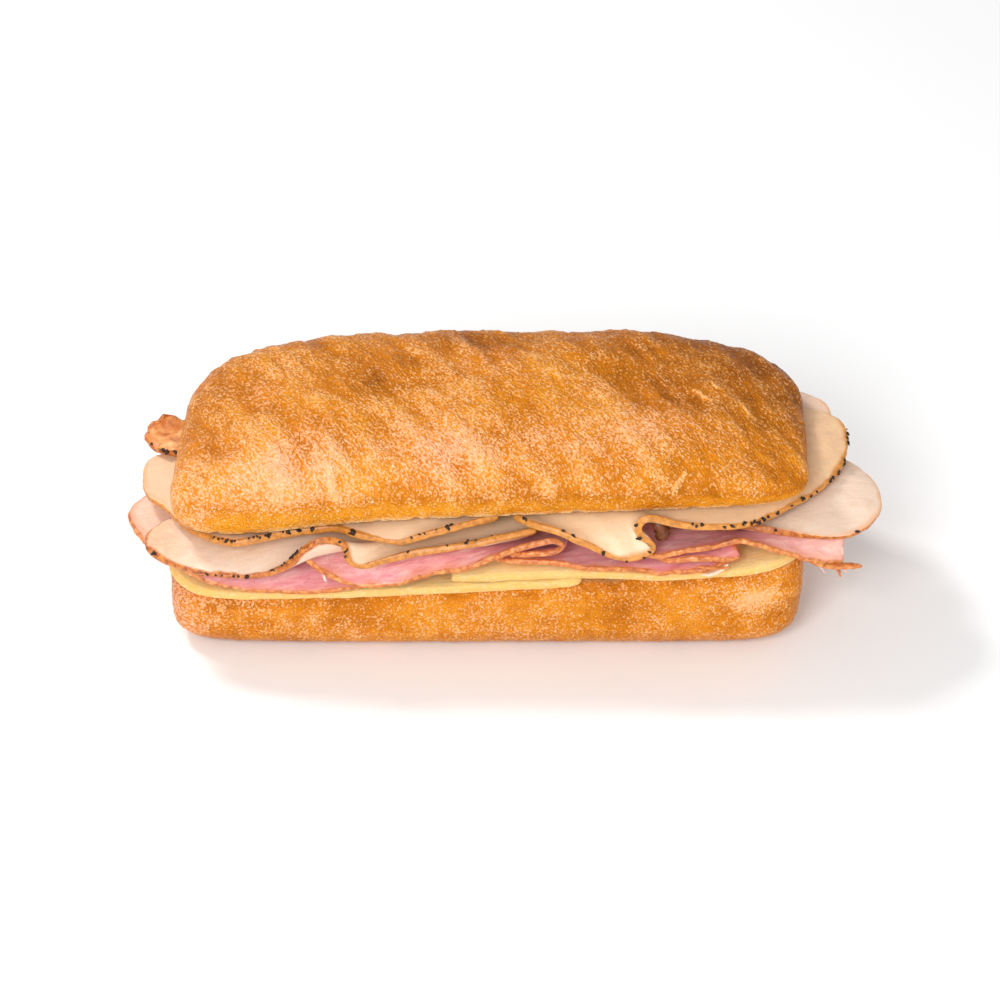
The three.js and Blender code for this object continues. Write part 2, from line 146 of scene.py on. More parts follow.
# No grain lies further back than this y, or further in from the rim than this, in mm.
PEPPER_BACK = 8
PEPPER_BAND = 0.36
# A grain's least size in mm, how much larger the largest are, and its flatness.
GRAIN_SIZE = (0.58, 0.72)
GRAIN_FLATNESS = 0.45
# How many shapes the grains have, and from how many random points each is made.
GRAIN_SHAPES = 14
GRAIN_CORNERS = 11

# In mm: how far a slice's right end is torn, how high its fine waves are and how far its rim
# is ragged. A slice's own value goes before its kind's or the usual one.
TORN = {"ham_torn": 1.8, "ham_right": 1.6, "ham_torn_flap": 1.2}
WAVY = {"turkey_curled_left": 1.1, "ham_torn": 0.3}
USUAL_WAVE = 0.16
RAGGED = {"cheese": 0.12, "ham": 0.45, "turkey": 0.22, "turkey_curled_left": 1.0}

THICKNESS = {"cheese": 2.8, "ham": 1.8, "turkey": 2.1}
# A slice's thickness swells over this many mm from its edge, by a superellipse of this power.
EDGE_ROUND = 0.9
EDGE_POWER = 2.6
# How far the stack bulges in the middle, and over what depth.
STACK_BULGE = 2.2
BULGE_DEPTH = LOAF_DEPTH + 6
# How far behind its edge a slice drapes, and how wide its ends are drawn.
DRAPE = 17
SLICE_END_WIDTH = 3

# How finely the surfaces are drawn.
CRUST_STEPS = 840
CROWN_RINGS = 92
HEEL_RINGS = 48
CUT_RINGS = 10
COLUMN_WIDTH = 0.8
SLICE_ROWS = 40

# The slices, roughly from the bottom up, with points from left to right along the front edge.
# The first word of a name is the slice's kind.
# rim: the lower front edge, (x, y, z) and, where it differs, the level. Without z it lies flat.
# back: the hidden outline behind it.
# level: where the flat part lies between the heel's cut, 0, and the crown's cut, 1.
# pleat: first and last rim points, by number, of a fold that dies out behind the edge.
# settle: how far behind the edge its own level starts and ends turning into the slice's level.
SLICES = {
    "cheese_left": {
        "level": 0.075,
        "rim": [
            (-90, -26, 21.3), (-86.6, -33, 21), (-81, -37.6, 20.7), (-73, -39.4, 20.7),
            (-47, -39.8, 21), (-20, -39.8, 22.3), (7, -39.8, 24), (23, -39.8, 25.2),
            (26.4, -38.4, 25.4),
        ],
        "back": [(-88, 24), (-40, 35), (10, 34), (24, 24)],
    },
    "cheese_right": {
        "level": 0.2325,
        "rim": [
            (-10.4, -39, 26), (0, -40, 27), (15, -40, 28), (27, -40, 28.3),
            (38, -40, 27.8, 0.16), (48, -40, 27.5, 0.08), (62, -40, 28.5, 0.08),
            (74.5, -39.4, 29.4, 0.08), (84, -36, 30.2, 0.08), (90, -30, 30.7, 0.08),
        ],
        "back": [(-9, 20), (10, 34), (60, 34), (84, 22), (89, 0)],
    },
    "ham_left": {
        "level": 0.25, "settle": (14, 40),
        "rim": [
            (-50, 38), (-68, 36), (-82, 28), (-89, 14), (-92, -1, 30.2, 0.44),
            (-99, -6.6, 30.4, 0.44), (-102.3, -13, 30.6, 0.44), (-101.6, -19.5, 30.6, 0.43),
            (-98.6, -25.5, 30.6, 0.42), (-93, -31.5, 30.2, 0.39), (-87, -36.5, 29, 0.36),
            (-79, -40.5, 26.8, 0.33), (-69, -42, 25, 0.3), (-58, -42.4, 24.4, 0.28),
            (-46, -42.4, 24.6, 0.26), (-35, -41, 25.2, 0.25),
        ],
        "back": [(-36, 30), (-32, -10)],
    },
    "ham_right": {
        "level": 0.33,
        "rim": [
            (2, -38, 32.6), (10.5, -41, 34.4), (18, -41.4, 34.2), (26, -42, 33),
            (35, -42.4, 32.6, 0.3), (44, -42.4, 31.4, 0.26), (53, -42.4, 31.4, 0.24),
            (61, -42, 32.2, 0.24), (67, -40, 33.4, 0.24),
        ],
        "back": [(2, -8), (10, 34), (36, 37.5), (62, 30), (69, -12)],
    },
    "ham_folded": {
        "level": 0.505,
        "rim": [
            (-56, -36, 32.4), (-50, -40, 33.5), (-47, -42, 32.2), (-41, -43, 28.8),
            (-35, -43.2, 27), (-29, -43.4, 27), (-23, -43.6, 28.6), (-16, -44, 31.8),
            (-8, -44, 33.6), (0, -44, 37.2), (8, -44, 41.8), (14.5, -44, 44.4),
            (18.6, -43.6, 44.6), (20.8, -43.4, 42.5, 0.46), (19, -43.2, 40.2, 0.425),
            (13, -43, 39, 0.42), (6, -41.5, 37.2, 0.42),
        ],
        "back": [(-54, 10), (-30, 40), (6, 39.5), (23, -20), (17, -31), (8, -32)],
    },
    "ham_torn": {
        "level": 0.375,
        "rim": [
            (39, -40, 37, 0.42), (47, -43.4, 38.2, 0.42), (56, -43, 40, 0.4),
            (63, -42.4, 41.3, 0.385), (70.6, -42, 43.2), (75, -42, 41.6), (80, -41.8, 39),
            (86, -41, 36), (92, -40, 33.2), (99.4, -37.4, 30.8),
        ],
        "back": [(38, -12), (50, 30), (74, 36), (93, 16), (98.8, -14), (99.8, -30)],
    },
    "turkey_low_right": {
        "level": 0.49,
        "rim": [
            (60, -30), (68, -33.6, 42.4), (76, -35, 42), (84, -36, 40.9), (92, -36.4, 39.6),
            (101, -35.8, 39.2), (107.6, -30.6, 39.2), (111.1, -24, 39.4), (111, -17, 39.8),
            (107.8, -10, 40.6), (102.6, -5, 41.8), (94, -3), (88, 1), (82, 9), (75, 19),
            (62, 27), (52, 22),
        ],
        "back": [(57, -16)],
    },
    "turkey_front_left": {
        "level": 0.62, "settle": (14, 40),
        "rim": [
            (-46, 40), (-68, 36), (-83, 26), (-90, 8), (-88, -10), (-87, -19, 34.6, 0.575),
            (-93, -24.4, 34.8, 0.575), (-96.8, -29.4, 34.4, 0.575), (-95.4, -35, 33.2, 0.575),
            (-88, -40, 31.9, 0.575), (-80, -42.6, 31.3, 0.58), (-71, -44, 31, 0.59),
            (-64, -44.2, 31.9, 0.6), (-59, -44.2, 34, 0.61), (-55, -44.2, 37.6),
            (-51.6, -44, 41.8), (-48.4, -43.8, 44.2), (-44.6, -43.6, 45), (-41.4, -43.6, 43.6),
            (-40.4, -44, 40.2), (-39.4, -44.2, 36.6), (-36.6, -44.4, 34.9), (-31, -44, 36.4),
            (-21, -43.6, 39.6), (-8, -43, 42), (4, -41.6, 44.2), (13.6, -39.6, 44.6),
        ],
        "back": [(-26, 32), (12, 30), (16, -10)],
    },
    "turkey_low_back": {
        "level": 0.73,
        "rim": [
            (44, -22), (66, -18), (82, -4), (92, 5, 44.2), (98.6, 14, 44), (97, 19.6, 44),
            (92.4, 24, 43.6), (82, 29),
        ],
        "back": [(30, 4), (34, 27), (62, 26)],
    },
    "turkey_top_left": {
        "level": 0.875, "settle": (24, 55),
        "rim": [
            (-58, 38), (-72, 35), (-84, 24), (-92, 7.6, 35.4, 0.735), (-97.4, 3, 36, 0.735),
            (-98.6, -4, 36.5, 0.73), (-98, -11, 37, 0.725), (-96, -16.4, 37.4, 0.73),
            (-92, -20.4, 37.6, 0.735), (-86, -30, 38.4, 0.745), (-79, -37.4, 40.2, 0.755),
            (-72, -41.2, 41, 0.77), (-65, -40.4, 41.8, 0.79), (-57, -37.7, 41.7, 0.81),
            (-49, -37.3, 42.7, 0.84), (-43, -37.7, 43.5, 0.865), (-37.5, -40.8, 43.8),
            (-31, -42, 42.8), (-25, -42.4, 42.2), (-16, -41.8, 44.8), (-9, -40.4, 46.2),
            (-3, -38.4, 46.5), (3, -36, 46.5),
        ],
        "back": [(-40, 31), (-12, 34), (4, 8)],
    },
    "turkey_curled_left": {
        "level": 0.895, "drape": 8,
        "rim": [
            (-82, 15), (-87, 16, 38.9), (-90.6, 16, 40.9), (-93.4, 15.4, 44.4),
            (-96.2, 13.8, 44.6), (-98.4, 12.8, 43), (-98.8, 10.4, 40.6), (-97, 6.6, 39),
            (-93.6, 3, 38.8), (-88, 0.6, 39.6), (-82, -1.6), (-76, -3),
        ],
        "back": [(-77, 12), (-72, 3)],
    },
    "turkey_top_right": {
        "level": 0.875, "pleat": (8, 17),
        "rim": [
            (7, -36.6, 47), (13, -41, 47.6), (19, -43.4, 47.2), (24, -45, 45.6),
            (28.6, -45.8, 43.4), (32.4, -46, 40.9), (36.6, -46.2, 39), (41, -46.2, 38.9),
            (45, -45.4, 40.1), (46.8, -44.8, 41.8), (45.4, -44.4, 43.4), (43, -44, 45.2),
            (41.8, -43.6, 47.8), (42.4, -43, 50.2), (44.6, -42.6, 51.4), (47.4, -42.6, 51.1),
            (51, -42.8, 50), (56, -42.6, 48.6), (62, -42.4, 47.6), (70, -41, 46.8),
            (78, -36.6, 46), (88, -28.6, 45.8), (95.4, -21, 45.7), (100, -12.6, 45.6),
            (102.4, -3, 45.8), (101.4, 7, 46), (97, 12, 46.2), (88, 15, 47), (80, 27), (68, 35),
            (40, 38),
        ],
        "back": [(12, 6), (24, 22)],
    },
}

# A small fold that lies between the slices, in their own form, with no CAD node to replace.
SMALL_FOLDS = {
    "ham_torn_flap": {
        "level": 0.34, "drape": 7, "node": None,
        "rim": [
            (47, -40.4, 35.4), (52, -42.4, 35.9), (57, -43, 37), (62, -42.8, 36.9),
            (66.4, -42.2, 35.8), (70.2, -40.6, 34.8), (70.4, -38.6, 34.6),
        ],
        "back": [(50, -30), (60, -29), (68, -32)],
    },
}

# Loose bits of meat and strips of fat: route points, widths along the route and thickness.
SHREDS = {
    "skin": [
        (
            [(90, -40.2, 35), (95, -39, 32.9), (99.6, -38, 31.9), (105.4, -37.4, 31.4)],
            [0.8, 2.4, 2.3, 2.0], 1.5,
        ),
        ([(97.6, -38, 32), (98.6, -38.4, 30.4), (99.2, -38.6, 28.3)], [2.2, 1.6, 1.0], 0.7),
        ([(58, -43, 35.6), (63, -43, 35.1), (68, -42, 34.5)], [0.7, 1.1, 0.8], 0.8),
    ],
    "flesh": [
        ([(93.2, -38.8, 33), (94, -39, 31.6), (94.6, -39.2, 30.2)], [1.5, 0.9, 0.4], 0.5),
        ([(99.2, -37, 32.4), (100.2, -37.6, 30.8), (100.8, -38, 29.2)], [1.4, 1.2, 0.6], 0.5),
        ([(98.8, -36, 33), (99.6, -35.4, 35), (99, -33, 36.6)], [1.2, 1.0, 0.5], 0.5),
    ],
    "rolled": [
        (
            [(45.6, -37, 46.2), (47.6, -37, 45.8), (48.8, -37, 43.8), (47.6, -37.4, 40.4)],
            [2, 4.4, 5, 3], 3.4,
        ),
    ],
    "fat": [
        (
            [(59.6, -42.9, 32.3), (63, -42.8, 33.1), (65.4, -42.2, 34.2), (67.4, -41.4, 35.2)],
            [0.8, 1.7, 1.9, 0.8], 0.9,
        ),
        ([(-46.2, -43.6, 33.2), (-45.6, -44, 32), (-45.4, -43.9, 30.8)], [0.5, 0.9, 0.5], 0.6),
    ],
}
# Their colouring, by the values that a slice has; inward is mm from the edge.
PLAIN_SHRED = {"inward": 0, "pale": 0, "browned": 0, "roast": 1, "scorch_and_shade": 0, "golden": 0}
SHRED_TINTS = {
    "skin": {"inward": 0.4, "pale": 0.3},
    "flesh": {"inward": 9, "pale": 0.5},
    # The roll is painted dark: browned skin, and painted shade in the hollow of the curl.
    "rolled": {"scorch_and_shade": 0.85},
    "fat": {"inward": 9, "pale": 1},
}

# Lights: place in metres, width in metres, watts; and the point that all of them face.
LIGHTS = {
    "front": ((-0.32, -1.0, 0.82), 0.5, 10.2),
    "low": ((0.3, -1.1, 0.4), 0.8, 2.6),
    "key": ((-0.5, 0.3, 0.8), 0.18, 4.5),
    "side": ((0.9, -0.5, 0.45), 0.5, 1.5),
}
LIT_POINT = (0, 0, 0.03)
SKY_STRENGTH = 0.5
# The camera: the point it looks at and its distance, in metres, its lens in mm.
VIEW_POINT = (0.0034, 0, 0.0257)
VIEW_DISTANCE = 1.594
VIEW_HEIGHT_ANGLE = 38
LENS = 200
SENSOR = 36


# ------------------------------------------------------------------ numbers and noise


def lerp(a, b, share):
    """The value this share of the way from a to b."""
    return a + (b - a) * share


def bell(value):
    """Smooth bump of height 1 round zero: e to the minus value squared."""
    return np.exp(-(value**2))


def smooth(value, start, end):
    """0 before start, 1 after end, and 3 t squared minus 2 t cubed between them."""
    t = np.clip((value - start) / (end - start), 0, 1)
    return t * t * (3 - 2 * t)


def hashed(cell, seed):
    """A fixed random value from -1 to 1 for each lattice cell, mixed from its three indices."""
    mixed = cell[..., 0] * 374761393 + cell[..., 1] * 668265263 + cell[..., 2] * 1440662683
    mixed = (mixed + seed * 974711) & 0xFFFFFFFF
    mixed = ((mixed ^ (mixed >> 13)) * 1274126177) & 0xFFFFFFFF
    mixed = mixed ^ (mixed >> 16)
    return mixed / 2.0**31 - 1


def noise(points, size, seed):
    """Smooth noise, about -1 to 1: lattice values this many mm apart, blended by a quintic fade."""
    place = points / size
    cell = np.floor(place).astype(np.int64)
    part = place - cell
    fade = part**3 * (part * (part * 6 - 15) + 10)
    total = np.zeros(points.shape[:-1])
    for corner in np.ndindex(2, 2, 2):
        weight = np.prod(np.where(corner, fade, 1 - fade), axis=-1)
        total += weight * hashed(cell + np.array(corner), seed)
    return total


def layered_noise(points, size, seed, layers=3):
    """Noise plus finer noise, each layer half as large and half as high as the one before."""
    return sum(noise(points, size / 2**k, seed + k) / 2**k for k in range(layers))


def nearest_blister(points, size, seed):
    """Distance, as a share of size, to the nearest of the random centres, one in each cell."""
    place = points / size
    cell = np.floor(place).astype(np.int64)
    best = np.full(points.shape[:-1], 9.0)
    for step in np.ndindex(3, 3, 3):
        near = cell + np.array(step) - 1
        centre = near + 0.5 + 0.4 * np.stack([hashed(near, seed + k) for k in range(3)], -1)
        best = np.minimum(best, np.linalg.norm(place - centre, axis=-1))
    return best


def curve_through(control, t):
    """Centripetal Catmull-Rom curve: t from 0 to 1 counts the control points evenly."""
    count = len(control)
    place = np.clip(t, 0, 1) * (count - 1)
    first = np.minimum(place.astype(int), count - 2)
    w = (place - first)[:, None]
    ends = 2 * control[0] - control[1], 2 * control[-1] - control[-2]
    padded = np.vstack([ends[0], control, ends[1]])
    p0, p1, p2, p3 = (padded[first + k] for k in range(4))
    d0, d1, d2 = (
        np.maximum(np.linalg.norm(b - a, axis=1), 1e-8)[:, None] ** 0.5
        for a, b in ((p0, p1), (p1, p2), (p2, p3))
    )
    slope1 = ((p1 - p0) / d0 - (p2 - p0) / (d0 + d1) + (p2 - p1) / d1) * d1
    slope2 = ((p2 - p1) / d1 - (p3 - p1) / (d1 + d2) + (p3 - p2) / d2) * d1
    square = -3 * p1 + 3 * p2 - 2 * slope1 - slope2
    cube = 2 * p1 - 2 * p2 + slope1 + slope2
    return p1 + slope1 * w + square * w**2 + cube * w**3


def slow_waves(x, y, waves):
    """A sine along X times a cosine along Y, plus a finer sine that slants across both."""
    (high, along, shift, across, turn), (low, near, far) = waves
    broad = high * np.sin(x / along + shift) * np.cos(y / across + turn)
    return broad + low * np.sin(x / near - y / far)


def along_line(x, y, middle_x, middle_y, degrees):
    """Distance run along a line through its middle, and distance off it to its left."""
    c, s = cos(radians(degrees)), sin(radians(degrees))
    run = (x - middle_x) * c + (y - middle_y) * s
    off = (y - middle_y) * c - (x - middle_x) * s
    return run, off


def run_length(points, axis=0):
    """Length walked along the points so far, starting at zero."""
    steps = np.linalg.norm(np.diff(points, axis=axis), axis=-1)
    pad = [(0, 0)] * steps.ndim
    pad[axis] = (1, 0)
    return np.pad(np.cumsum(steps, axis=axis), pad)


def even_steps(points, count):
    """Shares at which count points lie evenly along a finely drawn line."""
    length = run_length(points)
    return np.interp(np.linspace(0, length[-1], count), length, np.linspace(0, 1, len(points)))


def points_at(line, walked, place):
    """The line's points at these lengths, from the length walked at each of its own points."""
    return np.stack([np.interp(place, walked, column) for column in line.T], -1)


def unit(vectors):
    """The vectors divided by their lengths."""
    return vectors / np.maximum(np.linalg.norm(vectors, axis=-1, keepdims=True), 1e-12)


def grid_normals(grid, closed=False):
    """Unit normals of a grid: its step along the rows crossed with its step along the columns."""
    if closed:
        along = np.roll(grid, -1, axis=1) - np.roll(grid, 1, axis=1)
    else:
        along = np.gradient(grid, axis=1)
    return unit(np.cross(along, np.gradient(grid, axis=0)))


# ------------------------------------------------------------------ meshes and nodes


def make_piece(name, points, faces, material, slot, node=None, **attributes):
    """A mesh piece from points in mm and faces, with named values on its points."""
    mesh = bpy.data.meshes.new(name)
    mesh.from_pydata((points.reshape(-1, 3) * MM).tolist(), [], faces.tolist())
    for label, values in attributes.items():
        layer = mesh.attributes.new(label, "FLOAT", "POINT")
        layer.data.foreach_set("value", np.ravel(values).astype(np.float32))
    mesh.materials.append(material)
    mesh.polygons.foreach_set("use_smooth", np.ones(len(mesh.polygons), dtype=bool))
    mesh.validate()
    piece = bpy.data.objects.new(name, mesh)
    bpy.context.collection.objects.link(piece)
    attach(piece, "root")
    if node:
        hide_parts(node)
    return piece


def joined(parts):
    """Points and faces of one mesh made of several parts, each with its own points and faces."""
    starts = np.cumsum([0] + [len(points) for points, _ in parts[:-1]])
    faces = [faces + start for (_, faces), start in zip(parts, starts)]
    return np.vstack([points for points, _ in parts]), np.vstack(faces)


def weld(piece):
    """Joins the points of a piece that lie in one place."""
    work = bmesh.new()
    work.from_mesh(piece.data)
    bmesh.ops.remove_doubles(work, verts=work.verts, dist=WELD_GAP)
    bmesh.ops.dissolve_degenerate(work, edges=work.edges, dist=WELD_GAP)
    work.to_mesh(piece.data)
    work.free()


def grid_faces(rows, columns, closed=False):
    """Corner numbers of a grid's four-sided faces; a closed grid's last column meets its first."""
    row = np.arange(rows - 1)[:, None]
    column = np.arange(columns if closed else columns - 1)[None, :]
    after = (column + 1) % columns
    here, up = row * columns, (row + 1) * columns
    return np.stack([here + column, here + after, up + after, up + column], -1).reshape(-1, 4)


def srgb(code):
    """Linear colour from a hex code."""
    values = np.array([int(code[k : k + 2], 16) for k in (1, 3, 5)]) / 255
    linear = np.where(values <= 0.04045, values / 12.92, ((values + 0.055) / 1.055) ** 2.4)
    return (*linear.tolist(), 1.0)


class Wiring:
    """Adds nodes to a material's or a group's tree. A value given to a socket is a constant, a
    hex colour or another socket."""

    def __init__(self, tree):
        self.tree = tree

    def feed(self, socket, value):
        if isinstance(value, bpy.types.NodeSocket):
            self.tree.links.new(value, socket)
        else:
            socket.default_value = srgb(value) if isinstance(value, str) else value

    def add(self, kind, inputs=(), **settings):
        made = self.tree.nodes.new("ShaderNode" + kind)
        for key, value in settings.items():
            setattr(made, key, value)
        for key, value in dict(inputs).items():
            self.feed(made.inputs[key], value)
        return made

    def place(self, turn=0.0, stretch=(1, 1, 1)):
        """Object coordinates in which patterns are drawn out along X turned by these degrees."""
        coordinates = self.add("TexCoord").outputs["Object"]
        mapping = {"Vector": coordinates, "Rotation": (0, 0, radians(turn)), "Scale": stretch}
        return self.add("Mapping", mapping, vector_type="TEXTURE").outputs["Vector"]

    def noise(self, place, size, detail=2.0, rough=0.55, distort=0.0):
        """Noise whose features are about this many mm across."""
        inputs = {"Vector": place, "Scale": 1 / (size * MM), "Detail": detail}
        inputs |= {"Roughness": rough, "Distortion": distort}
        return self.add("TexNoise", inputs).outputs["Fac"]

    def dots(self, place, size):
        """Distance to the nearest of random centres, in units of size, which is in mm."""
        inputs = {"Vector": place, "Scale": 1 / (size * MM)}
        return self.add("TexVoronoi", inputs).outputs["Distance"]

    def span(self, value, low, high, to_low=0.0, to_high=1.0):
        """The value's range low to high, smoothly turned into to_low to to_high."""
        inputs = {"Value": value, "From Min": low, "From Max": high}
        inputs |= {"To Min": to_low, "To Max": to_high}
        return self.add("MapRange", inputs, interpolation_type="SMOOTHSTEP").outputs["Result"]

    def math(self, operation, a, b, clamp=False):
        made = self.add("Math", {0: a, 1: b}, operation=operation, use_clamp=clamp)
        return made.outputs["Value"]

    def plus(self, a, b, clamp=False):
        return self.math("ADD", a, b, clamp)

    def times(self, a, b):
        return self.math("MULTIPLY", a, b)

    def swing(self, value, height):
        """How far the value is from 0.5, times a height."""
        return self.times(self.math("SUBTRACT", value, 0.5), height)

    def mix(self, share, a, b, blend="MIX"):
        made = self.add("Mix", {0: share, 6: a, 7: b}, data_type="RGBA", blend_type=blend)
        return made.outputs[2]

    def ramp(self, value, *stops):
        """Colour ramp from (position, hex code) stops."""
        made = self.add("ValToRGB", {"Fac": value})
        elements = made.color_ramp.elements
        while len(elements) < len(stops):
            elements.new(0.5)
        for element, (position, code) in zip(elements, stops):
            element.position = position
            element.color = srgb(code)
        return made.outputs["Color"]

    def attribute(self, label):
        return self.add("Attribute", attribute_name=label).outputs["Fac"]

    def bump(self, height, mm, normal=None):
        """Normal bent by a height from 0 to 1 that stands this many mm high."""
        inputs = {"Height": height, "Distance": mm * MM}
        if normal:
            inputs["Normal"] = normal
        return self.add("Bump", inputs).outputs["Normal"]

    def group(self, group, **inputs):
        made = self.add("Group", node_tree=group)
        for key, value in inputs.items():
            self.feed(made.inputs[key.title()], value)
        return made.outputs


def new_group(name, inputs, outputs):
    """An empty node group with number inputs {name: default} and number outputs."""
    tree = bpy.data.node_groups.new(name, "ShaderNodeTree")
    for label, default in inputs.items():
        socket = tree.interface.new_socket(label, in_out="INPUT", socket_type="NodeSocketFloat")
        socket.default_value = default
    for label in outputs:
        tree.interface.new_socket(label, in_out="OUTPUT", socket_type="NodeSocketFloat")
    given = tree.nodes.new("NodeGroupInput").outputs
    result = tree.nodes.new("NodeGroupOutput").inputs
    return Wiring(tree), given, result


def new_material(name, **shader):
    """A material with a Principled shader whose constant sockets are set here."""
    material = bpy.data.materials.new(name)
    material.use_nodes = True
    surface = material.node_tree.nodes["Principled BSDF"]
    for key, value in shader.items():
        surface.inputs[key.replace("_", " ").title().replace("Ior", "IOR")].default_value = value
    return material, Wiring(material.node_tree), surface.inputs


# ------------------------------------------------------------------ shared effects


def blister_flecks():
    """Pale blisters, dots and short streaks along the loaf's wrinkles, that cover more of the
    crust where Amount is high; the third output is painted highlight: tiny dots as glints."""
    w, given, result = new_group("Blister Flecks", {"Amount": 0.5}, ["Mask", "Height", "Painted Glint"])
    dot = w.span(w.dots(w.place(WRINKLE_TURN, (1.3, 0.85, 1)), 0.95), 0.12, 0.62, 1, 0)
    streaks = w.noise(w.place(WRINKLE_TURN, (1.7, 0.8, 1)), 0.72, 2, 0.5, 0.2)
    either = w.plus(w.times(dot, 0.5), w.times(w.span(streaks, 0.34, 0.68), 0.5))
    patches = w.span(w.noise(w.place(WRINKLE_TURN, (2, 0.9, 1)), 4.2, 3, 0.6), 0.25, 0.75)
    level = w.plus(given["Amount"], w.swing(patches, 0.3))
    w.feed(result["Mask"], w.span(w.plus(either, level), 0.68, 1.2))
    w.feed(result["Height"], w.plus(w.times(either, 0.75), w.times(patches, 0.25)))
    # Painted highlight: sparse tiny bright dots that stand in for glints.
    spark = w.span(w.dots(w.place(20, (1.2, 0.9, 1)), 1.1), 0.12, 0.34, 1, 0)
    few = w.span(w.plus(w.noise(w.place(), 1.9, 2), level), 0.8, 1.02)
    w.feed(result["Painted Glint"], w.times(spark, few))
    return w.tree


def edge_skin():
    """Mask of the cooked skin: 1 at a slice's edge, fading out over Width mm, unevenly. The
    slice's own value roast makes it wider or narrower. Glow is the tint behind it."""
    w, given, result = new_group("Edge Skin", {"Width": 1.0, "Tint": 3.0}, ["Skin", "Glow"])
    slow = w.span(w.noise(w.place(), 9, 2), 0.3, 0.7, 0.55, 1.25)
    width = w.times(w.times(given["Width"], w.attribute("roast")), slow)
    inward = w.plus(w.attribute("inward"), w.swing(w.noise(w.place(), 2.2, 4), 0.7))
    w.feed(result["Skin"], w.span(w.math("DIVIDE", inward, width), 0.5, 1.25, 1, 0))
    tinted = w.math("DIVIDE", inward, w.times(given["Tint"], slow))
    w.feed(result["Glow"], w.span(tinted, 0.1, 1.1, 1, 0))
    return w.tree


def meat_grain():
    """Grain is fibres and a fine wet grain, as one number round 0.5; Cloud is slow noise."""
    w, given, result = new_group("Meat Grain", {"Fibre": 1.0}, ["Grain", "Cloud"])
    fibre = w.noise(w.place(12, (4, 0.9, 1)), 2.2, 5, 0.62, 0.5)
    fine = w.times(w.noise(w.place(), 0.7, 2), 0.3)
    w.feed(result["Grain"], w.plus(w.plus(w.swing(fibre, given["Fibre"]), fine), 0.35))
    w.feed(result["Cloud"], w.noise(w.place(), 14, 3, 0.55))
    return w.tree


FLECKS = blister_flecks()
SKIN = edge_skin()
GRAIN = meat_grain()


# ------------------------------------------------------------------ materials


def crust_material():
    """Baked crust by its point values: tone 0 pale to 1 dark, rosy, flour and crumb; its glints are
    painted highlights.
    """
    material, w, surface = new_material(
        "Baked Crust", specular_ior_level=0.08, coat_weight=0.02, coat_roughness=0.15
    )
    rosy = w.attribute("rosy")
    mottle = w.swing(w.noise(w.place(WRINKLE_TURN, (1.6, 1, 1)), 4, 5, 0.65), 0.6)
    fine = w.swing(w.noise(w.place(), 0.9, 3, 0.6), 0.5)
    shade = w.plus(w.plus(w.attribute("tone"), mottle), fine, clamp=True)
    warm = w.ramp(shade, (0, "#f0a55e"), (0.3, "#e48a28"), (0.6, "#c66c0c"), (1, "#844406"))
    yellow = w.ramp(shade, (0, "#f0b250"), (0.3, "#e4941e"), (0.6, "#c6740a"), (1, "#8a4a04"))
    golden = w.ramp(shade, (0.1, "#f4bc76"), (0.6, "#eaa85c"), (1, "#d68e44"))
    peach = w.ramp(shade, (0.1, "#fabc98"), (0.6, "#f4b082"), (1, "#de985a"))
    ground = w.mix(rosy, yellow, warm)
    pale = w.mix(rosy, golden, peach)
    flecks = w.group(FLECKS, amount=w.attribute("flour"))
    crust = w.mix(w.times(flecks["Mask"], 0.9), ground, pale)
    # Painted highlight: the glint dots painted near-white into the crust's colour.
    crust = w.mix(w.times(flecks["Painted Glint"], 0.6), crust, "#ffdab6")
    pores = w.span(w.dots(w.place(0, (1.4, 1, 1)), 2.6), 0.12, 0.5)
    speckle = w.span(w.noise(w.place(), 0.9, 3), 0.25, 0.6)
    crumb = w.mix(w.times(pores, speckle), "#c48c4c", "#f2d3a0")
    cut = w.attribute("crumb")
    w.feed(surface["Base Color"], w.mix(cut, crust, crumb))
    rough = w.span(flecks["Mask"], 0, 1, 0.3, 0.42)
    w.feed(surface["Roughness"], w.plus(rough, w.times(cut, 0.4)))
    normal = w.bump(w.noise(w.place(), 0.7, 3, 0.6), 0.2)
    w.feed(surface["Normal"], w.bump(flecks["Height"], 0.5, normal))
    return material


def cheese_material():
    """Firm pale yellow cheese: faint clouds, layered streaks, a paler dry edge, waxy grain;
    painted warm shade away from the edge and painted shade on the front wall.
    """
    material, w, surface = new_material(
        "Pale Cheese", specular_ior_level=0.4, subsurface_weight=0.6,
        subsurface_scale=0.006, subsurface_radius=(1.0, 0.8, 0.45),
    )
    inward = w.attribute("inward")
    cloud = w.noise(w.place(), 9, 3)
    body = w.ramp(cloud, (0.25, "#f8d084"), (0.55, "#fcdb98"), (0.8, "#ffe4b0"))
    streak = w.noise(w.place(4, (9, 0.8, 0.5)), 1.4, 4, 0.6)
    body = w.mix(w.span(streak, 0.5, 0.7, 0, 0.5), body, "#fbe5b4")
    body = w.mix(w.span(streak, 0.42, 0.3, 0, 0.4), body, "#e5ab57")
    # Painted warm shade: deeper orange away from the edge, where the slices above shade the cheese.
    body = w.mix(w.span(inward, 1.5, 5, 0, 0.5), body, "#ffcc84")
    # Painted shade: the front wall, which the front light meets straight on, is darkened.
    body = w.mix(w.span(inward, 0.35, 0.95, 1, 0), body, "#f6dab6", "MULTIPLY")
    crumbly = w.span(w.noise(w.place(0, (1.6, 1, 0.5)), 1.2, 4, 0.65), 0.5, 0.66)
    dry = w.times(crumbly, w.span(inward, 0.2, 1.8, 0.45, 0))
    w.feed(surface["Base Color"], w.mix(dry, body, "#fdecc6"))
    w.feed(surface["Roughness"], w.span(cloud, 0.3, 0.7, 0.34, 0.5))
    normal = w.bump(w.noise(w.place(), 0.8, 3), 0.06)
    normal = w.bump(streak, 0.15, normal)
    w.feed(surface["Normal"], w.bump(crumbly, 0.12, normal))
    return material


